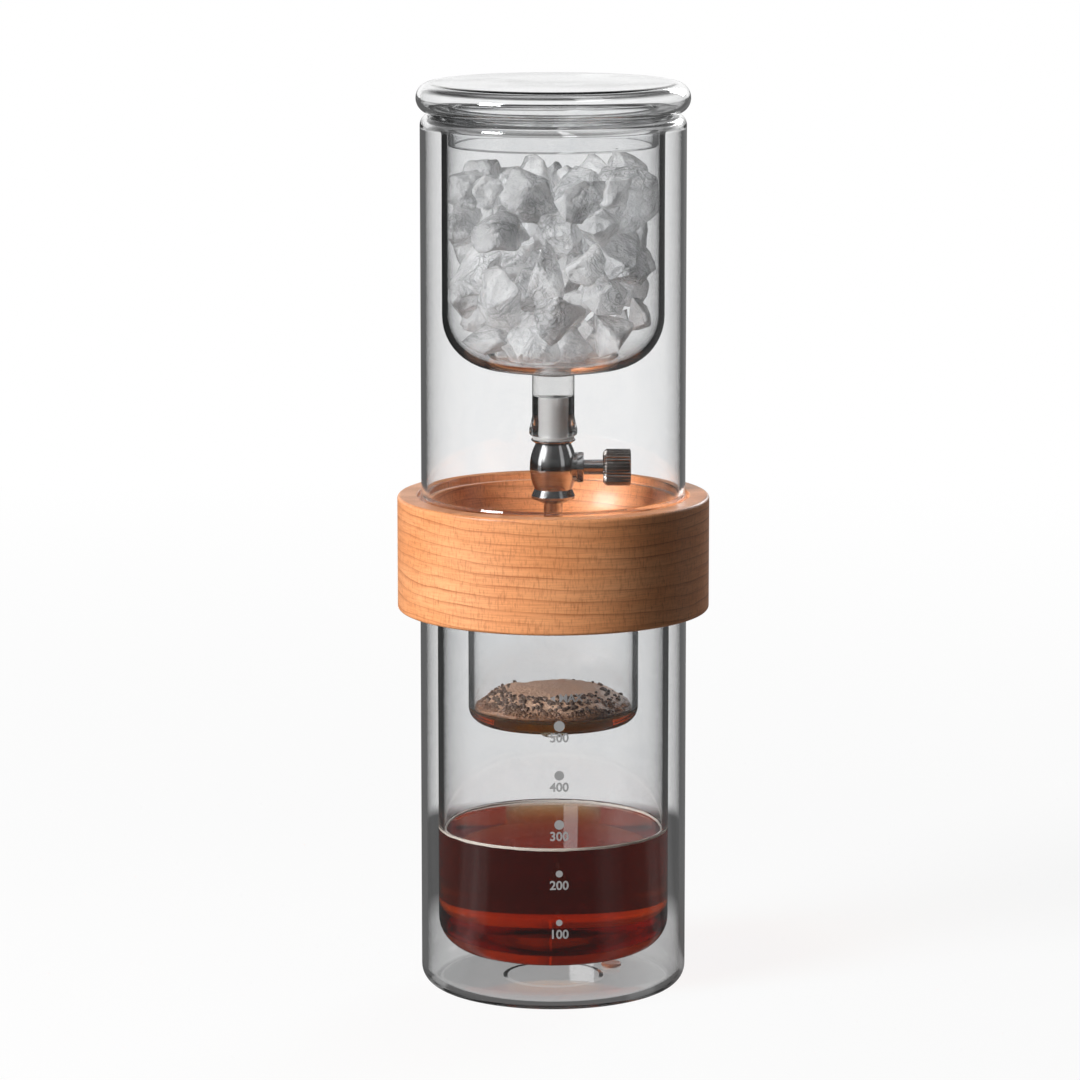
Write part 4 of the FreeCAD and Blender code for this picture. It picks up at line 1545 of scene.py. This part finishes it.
@dataclass
class DripValve:
    """Turned needle valve with its knurled knob."""

    spigot_radius: float = 3.6
    saucer_radius: float = 8.25
    neck_radius: float = 6.6
    barrel_radius: float = 8.85
    waist_radius: float = 7.1
    skirt_radius: float = 8.25
    bottom_radius: float = 5.4
    boss_radius: float = 5.6
    boss_reach: float = 8.95
    spout_radius: float = 3.55
    spout_wall: float = 1.1
    stem_radius: float = 2.85
    flutes: int = 32
    flute_depth: float = 0.55
    nut_across_flats: float = 10.6
    nut_edge_round: float = 0.35
    nut_rim_round: float = 0.55
    points_per_flute: int = 6

    def __post_init__(self) -> None:
        """Reads the valve's heights from the frame."""
        low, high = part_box("valve_knob")
        self.axis_z = (low.z + high.z) / 2 / MM
        self.saucer = self.axis_z + 10.8

    def along_stem(self, bm: BMesh) -> BMesh:
        """Lays a mesh made about the Z axis along the stem."""
        bmesh.ops.rotate(bm, verts=bm.verts, matrix=Matrix.Rotation(math.pi / 2, 3, "Y"))
        bmesh.ops.translate(bm, verts=bm.verts, vec=(0, 0, self.axis_z * MM))
        return bm

    def body(self, shop: Workshop) -> None:
        """Builds the turned body with its side boss."""
        low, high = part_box("valve_body")
        top, bottom = high.z / MM, low.z / MM
        axis = self.axis_z
        bm = turned([
            (0, top),
            (self.spigot_radius, top, 0.4),
            (self.spigot_radius, self.saucer),
            (self.saucer_radius, self.saucer, 0.25),
            (self.saucer_radius, self.saucer - 0.5, 0.2),
            (self.neck_radius, self.saucer - 1.7),
            (self.barrel_radius, axis, "through"),
            (self.waist_radius, axis - 8.1),
            (self.skirt_radius, axis - 10.6, 0.4),
            (self.skirt_radius, axis - 11.6, 0.4),
            (self.bottom_radius, bottom, 0.4),
            (0, bottom),
        ], closed=False, steps=SMALL_TURNING_STEPS)
        made = piece("valve_body_polished", bm, shop.chrome)
        boss = self.along_stem(turned([
            (0, 2.0),
            (self.boss_radius, 2.0),
            (self.boss_radius, self.boss_reach, 0.3),
            (0, self.boss_reach),
        ], closed=False, steps=SMALL_TURNING_STEPS))
        made = carved(made, boss, "UNION")
        seat(made, Body.CHAMBER, "valve_chrome", "valve_body")

    def spout(self, shop: Workshop) -> None:
        """Builds the drip tube."""
        low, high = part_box("valve_spout")
        bore = self.spout_radius - self.spout_wall
        bm = turned([
            (bore, high.z / MM),
            (self.spout_radius, high.z / MM),
            (self.spout_radius, low.z / MM, 0.5),
            (bore, low.z / MM, 0.2),
        ], steps=64)
        show("valve_spout_polished", bm, shop.chrome, Body.CHAMBER, "valve_chrome", "valve_spout")

    def nut(self, shop: Workshop) -> None:
        """Builds the hexagonal gland nut."""
        _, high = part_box("gland_nut")
        start, end = self.boss_reach, high.x / MM
        bm = bmesh.new()
        corner = self.nut_across_flats / math.sqrt(3) * MM
        bmesh.ops.create_circle(bm, cap_ends=True, segments=6, radius=corner)
        raised = bmesh.ops.extrude_face_region(bm, geom=bm.faces[:])
        verts = [item for item in raised["geom"] if isinstance(item, BMVert)]
        bmesh.ops.translate(bm, verts=verts, vec=(0, 0, (end - start) * MM))
        bmesh.ops.recalc_face_normals(bm, faces=bm.faces)
        rounded = {"affect": "EDGES", "segments": 3, "profile": 0.5, "material": -1}
        upright = [edge for edge in bm.edges if abs(edge.verts[0].co.z - edge.verts[1].co.z) > MM]
        bmesh.ops.bevel(bm, geom=upright, offset=self.nut_edge_round * MM, **rounded)
        top = (end - start - 0.01) * MM
        rim = [edge for edge in bm.edges if min(vert.co.z for vert in edge.verts) > top]
        bmesh.ops.bevel(bm, geom=rim, offset=self.nut_rim_round * MM, **rounded)
        bmesh.ops.translate(bm, verts=bm.verts, vec=(0, 0, start * MM))
        made = piece("gland_nut_polished", self.along_stem(bm), shop.chrome)
        bore = self.along_stem(turned([
            (0, start - 1),
            (self.stem_radius + 0.05, start - 1),
            (self.stem_radius + 0.05, end + 1),
            (0, end + 1),
        ], closed=False, steps=48))
        made = carved(made, bore, "DIFFERENCE")
        seat(made, Body.CHAMBER, "valve_chrome", "gland_nut")

    def stem(self, shop: Workshop) -> None:
        """Builds the stem between nut and knob."""
        low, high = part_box("valve_stem")
        knob_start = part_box("valve_knob")[0].x / MM
        bm = self.along_stem(turned([
            (0, low.x / MM),
            (2.5, low.x / MM, 0.3),
            (2.5, 4.4, 0.3),
            (2.1, 4.4),
            (2.1, 5.3),
            (self.stem_radius, 5.3, 0.2),
            (self.stem_radius, knob_start),
            (2.3, knob_start),
            (2.3, high.x / MM, 0.3),
            (0, high.x / MM),
        ], closed=False, steps=64))
        show("valve_stem_polished", bm, shop.chrome, Body.KNOB, "valve_chrome", "valve_stem")

    def knob(self, shop: Workshop) -> None:
        """Builds the knurled knob from a fluted ring drawn along the stem."""
        low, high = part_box("valve_knob")
        start, end = low.x / MM, high.x / MM
        radius = (high.z - low.z) / 2 / MM
        stations = [
            (start, 2.3),
            (start, radius - 1.3),
            (start + 0.15, radius - 1.15),
            (start + 1.15, radius - 0.12),
            (start + 1.4, radius),
            (end - 0.6, radius),
            (end - 0.45, radius - 0.03),
            (end - 0.05, radius - 0.45),
            (end, radius - 0.6),
            (end, 4.8),
            (end - 0.1, 4.6),
            (end - 0.4, 4.2),
            (end - 0.4, 0.8),
        ]
        bm = bmesh.new()
        segments = self.flutes * self.points_per_flute
        ring = bmesh.ops.create_circle(bm, segments=segments, radius=1.0)["verts"]
        edges = list(bm.edges)
        for number, (x, reach) in enumerate(stations):
            if number:
                drawn = bmesh.ops.extrude_edge_only(bm, edges=edges)
                ring = [item for item in drawn["geom"] if isinstance(item, BMVert)]
                edges = [item for item in drawn["geom"] if isinstance(item, BMEdge)]
            for vert in ring:
                angle = math.atan2(vert.co.y, vert.co.x)
                wave = 0.5 - 0.5 * math.cos(angle * self.flutes)
                away = reach - (self.flute_depth * wave ** 2 if reach > radius - 1.2 else 0.0)
                vert.co = Vector((math.cos(angle) * away, math.sin(angle) * away, x)) * MM
        bmesh.ops.holes_fill(bm, edges=edges)
        bmesh.ops.recalc_face_normals(bm, faces=bm.faces)
        show(
            "valve_knob_knurled", self.along_stem(bm), shop.knob_metal, Body.KNOB, "knob_metal", "valve_knob"
        )

    def build(self, shop: Workshop) -> None:
        """Builds and dresses the valve."""
        self.body(shop)
        self.spout(shop)
        self.nut(shop)
        self.stem(shop)
        self.knob(shop)
        dress_node("valve_seat", shop.polymer)
        dress_node("stem_packing", shop.polymer)
        dress_node("packing_follower", shop.brass)
        dress_node("valve_needle", shop.steel)
        dress_node("knob_screw", shop.steel)


@dataclass
class Lid:
    """Hollow blown lid."""

    wall: float = 1.7
    skirt_radius: float = 39.0
    skirt_wall: float = 2.0
    skirt_fillet: float = 1.5

    def build(self, shop: Workshop) -> None:
        """Builds and dresses the lid."""
        low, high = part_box("lid")
        radius, bottom, top = high.x / MM, low.z / MM, high.z / MM
        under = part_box("ice_chamber")[1].z / MM
        edge_round = (top - under) / 2
        inner_round = edge_round - self.wall
        bore = self.skirt_radius - self.skirt_wall
        bm = turned([
            (0, top),
            (radius, top, edge_round),
            (radius, under, edge_round),
            (self.skirt_radius, under, 0.5),
            (self.skirt_radius, bottom, self.skirt_wall / 2),
            (bore, bottom, self.skirt_wall / 2),
            (bore, under + self.wall, self.skirt_fillet),
            (radius - self.wall, under + self.wall, inner_round),
            (radius - self.wall, top - self.wall, inner_round),
            (0, top - self.wall),
        ], closed=False)
        show("lid_blown", bm, shop.lid_glass, Body.LID, "lid_glass", "lid")


# Studio


@dataclass
class Studio:
    """Pale floor, soft light and the photograph's camera, in metres.

    Glass and metal show a dimmer floor with painted shade and painted reflections, and a dimmer room, than
    the camera sees. The depth pairs say between which counts of passed glass faces a tone sets in, and the
    edge pairs between which heights or cosines.
    """

    camera_distance: float = 1.8487
    camera_height: float = 0.4923
    camera_pitch: float = math.radians(9.89)
    focal_mm: float = 166.5
    sensor_mm: float = 36.0
    photo_size: float = 1080.0
    axis_pixel: float = 553.3
    lamp_aim: float = 0.17
    floor_size: float = 40.0
    floor_colour: Colour = (0.22, 0.22, 0.22)
    floor_spot_colour: Colour = (0.24, 0.24, 0.24)
    floor_shown_colour: Colour = (0.95, 0.95, 0.95)
    floor_shown_share: float = 0.88
    floor_shown_fully: tuple[float, float] = (0.3, 1.2)
    diffuse_fill: float = 0.018
    # Painted shade on the floor seen through glass: grey under the tower, dark behind it, white far off.
    painted_foot_shade_tone: float = 0.62
    foot_reach: float = 0.11
    painted_shade_tone: float = 0.10
    painted_shade_start: float = 0.15
    painted_shade_end: float = 0.285
    far_start: float = 0.31
    # Painted reflections on the floor: a dim floor and window strips, shown only in reflected rays.
    reflected_floor: float = 0.006
    wall_reflection: float = 0.12
    floor_painted_window_share: float = 0.15
    reflected_room: float = 0.06
    low_sky: float = 1.0
    # Painted glow for rays through many faces of ice.
    painted_deep_glow: float = 1.0
    reflected_top: float = 0.9
    refracted_room: float = 0.46
    window_strength: float = 0.42
    side_window_strength: float = 1.0
    window_count: float = 3.0
    window_azimuth: float = math.radians(-42)
    window_edge: tuple[float, float] = (0.84, 0.93)
    side_window_count: float = 2.0
    side_window_azimuth: float = math.radians(-162)
    side_window_edge: tuple[float, float] = (0.93, 0.97)
    back_window_azimuth: float = math.radians(89.28)
    back_window_half_width: float = math.radians(0.30)
    back_window_strength: float = 0.8
    window_top: tuple[float, float] = (0.55, 0.65)
    ceiling_edge: tuple[float, float] = (0.72, 0.85)
    horizon_edge: tuple[float, float] = (0.02, 0.12)
    sky_edge: tuple[float, float] = (0.3, 0.5)
    shallow_depths: tuple[float, float] = (2.0, 4.0)
    behind_depths: tuple[float, float] = (2.5, 3.5)
    deep_depths: tuple[float, float] = (10.5, 13.5)

    def camera(self) -> None:
        """Places the camera."""
        data = bpy.data.cameras.new("photo_camera")
        data.lens = self.focal_mm
        data.sensor_width = self.sensor_mm
        data.shift_x = (self.photo_size / 2 - self.axis_pixel) / self.photo_size
        data.clip_start = 0.05
        data.clip_end = 100.0
        made = bpy.data.objects.new("photo_camera", data)
        made.location = (0, -self.camera_distance, self.camera_height)
        made.rotation_euler = (math.pi / 2 - self.camera_pitch, 0, 0)
        bpy.context.scene.collection.objects.link(made)
        bpy.context.scene.camera = made

    def windows(self, nodes: Nodes, x: Socket, y: Socket) -> Socket:
        """Strength of the tall soft windows painted into reflections and views through glass: three round
        the tower, two at its sides, one behind.

        Args:
            nodes: the tree to add to.
            x: where a ray ends, or its heading, along X.
            y: the same along Y.

        Returns:
            The strength at that azimuth.
        """
        azimuth = nodes.math("ARCTAN2", y, x)
        turned_on = nodes.times(nodes.minus(azimuth, self.window_azimuth), self.window_count)
        narrow = nodes.math("COSINE", turned_on)
        narrow = nodes.spread(narrow, 0.0, self.window_strength, *self.window_edge)
        turned_on = nodes.times(
            nodes.minus(azimuth, self.side_window_azimuth), self.side_window_count
        )
        side = nodes.math("COSINE", turned_on)
        side = nodes.spread(side, 0.0, self.side_window_strength, *self.side_window_edge)
        off_back = nodes.math("ABSOLUTE", nodes.minus(azimuth, self.back_window_azimuth))
        edge = self.back_window_half_width
        back = nodes.spread(off_back, self.back_window_strength, 0.0, edge * 0.9, edge * 1.1)
        return nodes.plus(nodes.plus(narrow, side), back)

    def behind_glass(self, nodes: Nodes, path: Node) -> Socket:
        """Mask of rays that have passed through three faces of glass or more.

        Args:
            nodes: the tree to add to.
            path: its Light Path node.

        Returns:
            1 behind them, 0 in front.
        """
        return nodes.spread(path.outputs["Transmission Depth"], 0.0, 1.0, *self.behind_depths)

    def painted_shade_through_glass(self, nodes: Nodes, reach: Socket) -> Socket:
        """Painted shade on the floor, seen through glass: grey underfoot, dark behind, white far off.

        Args:
            nodes: the tree to add to.
            reach: distance from the tower's axis.

        Returns:
            The tone.
        """
        near = nodes.spread(reach, self.painted_foot_shade_tone, self.painted_shade_tone, self.foot_reach, self.painted_shade_start)
        far = nodes.spread(reach, 0.0, 1.0, self.painted_shade_end, self.far_start)
        return nodes.most(near, far)

    def painted_deep_glow_level(self, nodes: Nodes, path: Node) -> Socket:
        """Painted glow for rays which have passed through many lumps of ice.

        Args:
            nodes: the tree to add to.
            path: its Light Path node.

        Returns:
            The painted glow's strength.
        """
        depth = path.outputs["Transmission Depth"]
        return nodes.spread(depth, 0.0, self.painted_deep_glow, *self.deep_depths)

    def floor(self) -> None:
        """Lays a pale floor that keeps a soft shadow; in reflections and through glass it shows painted
        shade, painted reflections and a painted glow instead.
        """
        finish = Finish("pale_floor")
        place = finish.placed((1, 1, 1))
        path = finish.add("LightPath")
        by_camera = path.outputs["Is Camera Ray"]
        spots = finish.noise(place, scale=30.0)
        unseen = finish.blend(spots, self.floor_colour, self.floor_spot_colour)
        finish.set(
            Base_Color=finish.blend(by_camera, unseen, self.floor_shown_colour),
            Roughness=0.9,
            Specular_IOR_Level=0.1,
        )
        mirrored = finish.math("MINIMUM", path.outputs["Glossy Depth"], 1.0)
        seen = finish.most(by_camera, path.outputs["Is Transmission Ray"])
        seen = finish.most(seen, path.outputs["Is Glossy Ray"])
        parts = finish.add("SeparateXYZ", {0: place})
        # Painted window reflections and a painted dim floor, shown in reflected rays.
        windows = self.windows(finish, parts.outputs["X"], parts.outputs["Y"])
        windows = finish.times(windows, self.floor_painted_window_share)
        inner = self.behind_glass(finish, path)
        dim = finish.plus(windows, finish.spread(inner, self.wall_reflection, self.reflected_floor))
        reach = finish.add("VectorMath", {0: place}, operation="LENGTH").outputs["Value"]
        # Painted shade on the floor where it is seen through glass.
        through = finish.most(self.painted_shade_through_glass(finish, reach), by_camera)
        through = finish.times(through, finish.minus(1.0, mirrored))
        level = finish.plus(finish.times(dim, mirrored), through)
        # Painted glow behind many faces of ice.
        level = finish.most(level, self.painted_deep_glow_level(finish, path))
        shown = finish.add("Emission", {"Color": opaque(WHITE), "Strength": level})
        share = finish.spread(reach, self.floor_shown_share, 1.0, *self.floor_shown_fully)
        mix = finish.add("MixShader", {0: finish.times(seen, share)})
        finish.tree.links.new(finish.shader.outputs["BSDF"], mix.inputs[1])
        finish.tree.links.new(shown.outputs["Emission"], mix.inputs[2])
        finish.tree.links.new(mix.outputs["Shader"], finish.output.inputs["Surface"])
        bm = bmesh.new()
        bmesh.ops.create_grid(bm, x_segments=4, y_segments=4, size=self.floor_size / 2)
        piece("floor", bm, finish.material)

    def world(self) -> None:
        """Sets a white surround with a darker room in reflections and behind the glass's edges."""
        world = bpy.data.worlds.new("studio")
        bpy.context.scene.world = world
        world.use_nodes = True
        nodes = Nodes(world.node_tree)
        nodes.tree.nodes.clear()
        path = nodes.add("LightPath")
        parts = nodes.add("SeparateXYZ", {0: nodes.add("TexCoord").outputs["Generated"]})
        height = parts.outputs["Z"]
        windows = self.windows(nodes, parts.outputs["X"], parts.outputs["Y"])
        windows = nodes.times(windows, nodes.spread(height, 1.0, 0.0, *self.window_top))
        windows = nodes.times(windows, self.behind_glass(nodes, path))
        top = nodes.spread(height, 0.0, self.reflected_top, *self.ceiling_edge)
        lit = nodes.plus(windows, top)
        mirrored = nodes.math("MINIMUM", path.outputs["Glossy Depth"], 1.0)
        room = nodes.spread(mirrored, self.refracted_room, self.reflected_room)
        glossy = nodes.plus(lit, room)
        low = nodes.spread(height, 1.0, 0.0, *self.horizon_edge)
        low = nodes.times(low, nodes.minus(1.0, mirrored))
        glossy = nodes.most(glossy, low)
        depth = path.outputs["Transmission Depth"]
        shallow = nodes.spread(depth, 1.0, 0.0, *self.shallow_depths)
        sky = nodes.times(nodes.spread(height, self.low_sky, 0.0, *self.sky_edge), shallow)
        glossy = nodes.most(glossy, sky)
        # Painted glow behind many faces of ice.
        glossy = nodes.most(glossy, self.painted_deep_glow_level(nodes, path))
        sharp = nodes.most(path.outputs["Is Glossy Ray"], path.outputs["Is Transmission Ray"])
        fill = nodes.times(nodes.minus(1.0, sharp), self.diffuse_fill)
        level = nodes.plus(nodes.times(glossy, sharp), fill)
        level = nodes.most(level, path.outputs["Is Camera Ray"])
        background = nodes.add("Background", {"Color": opaque(WHITE), "Strength": level})
        output = nodes.add("OutputWorld")
        nodes.tree.links.new(background.outputs["Background"], output.inputs["Surface"])

    def lamp(self, name: str, place: Vector, size: float, power: float) -> None:
        """Hangs one square soft lamp that points at the tower's middle.

        Args:
            name: the lamp's name.
            place: where it hangs.
            size: side of the square.
            power: its power in watts.
        """
        data = bpy.data.lights.new(name, "AREA")
        data.shape = "SQUARE"
        data.size = size
        data.energy = power
        made = bpy.data.objects.new(name, data)
        made.location = place
        aim = Vector((0, 0, self.lamp_aim)) - place
        made.rotation_euler = aim.to_track_quat("-Z", "Y").to_euler()
        made.visible_camera = False
        made.visible_transmission = False
        bpy.context.scene.collection.objects.link(made)

    def light(self) -> None:
        """Hangs the lamps and sets how far light is followed."""
        self.lamp("key", Vector((-1.5, -1.05, 0.95)), size=0.7, power=56.0)
        self.lamp("rim", Vector((1.0, 1.75, 1.0)), size=0.8, power=18.0)
        cycles = bpy.context.scene.cycles
        cycles.max_bounces = 40
        cycles.transmission_bounces = 40
        cycles.glossy_bounces = 12
        cycles.diffuse_bounces = 4
        cycles.transparent_max_bounces = 40
        bpy.context.scene.view_settings.view_transform = "Standard"

    def build(self) -> None:
        """Sets up the studio."""
        self.camera()
        self.floor()
        self.world()
        self.light()


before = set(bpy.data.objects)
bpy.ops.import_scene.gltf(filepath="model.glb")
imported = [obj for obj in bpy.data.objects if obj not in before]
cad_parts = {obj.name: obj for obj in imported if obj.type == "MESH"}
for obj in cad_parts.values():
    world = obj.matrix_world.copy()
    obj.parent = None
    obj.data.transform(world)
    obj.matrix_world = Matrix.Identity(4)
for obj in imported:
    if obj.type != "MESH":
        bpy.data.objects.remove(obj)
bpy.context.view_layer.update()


def main() -> None:
    """Builds the tower's looks and the studio round it."""
    logging.basicConfig(level=logging.INFO)
    noise.seed_set(NOISE_SEED)
    Studio().build()
    shop = Workshop()
    assemblies: list = [Carafe(), Collar(), BrewCup(), IceChamber(), DripValve(), Lid()]
    for assembly in assemblies:
        assembly.build(shop)
        log.info("%s done", type(assembly).__name__)


if __name__ == "__main__":
    main()
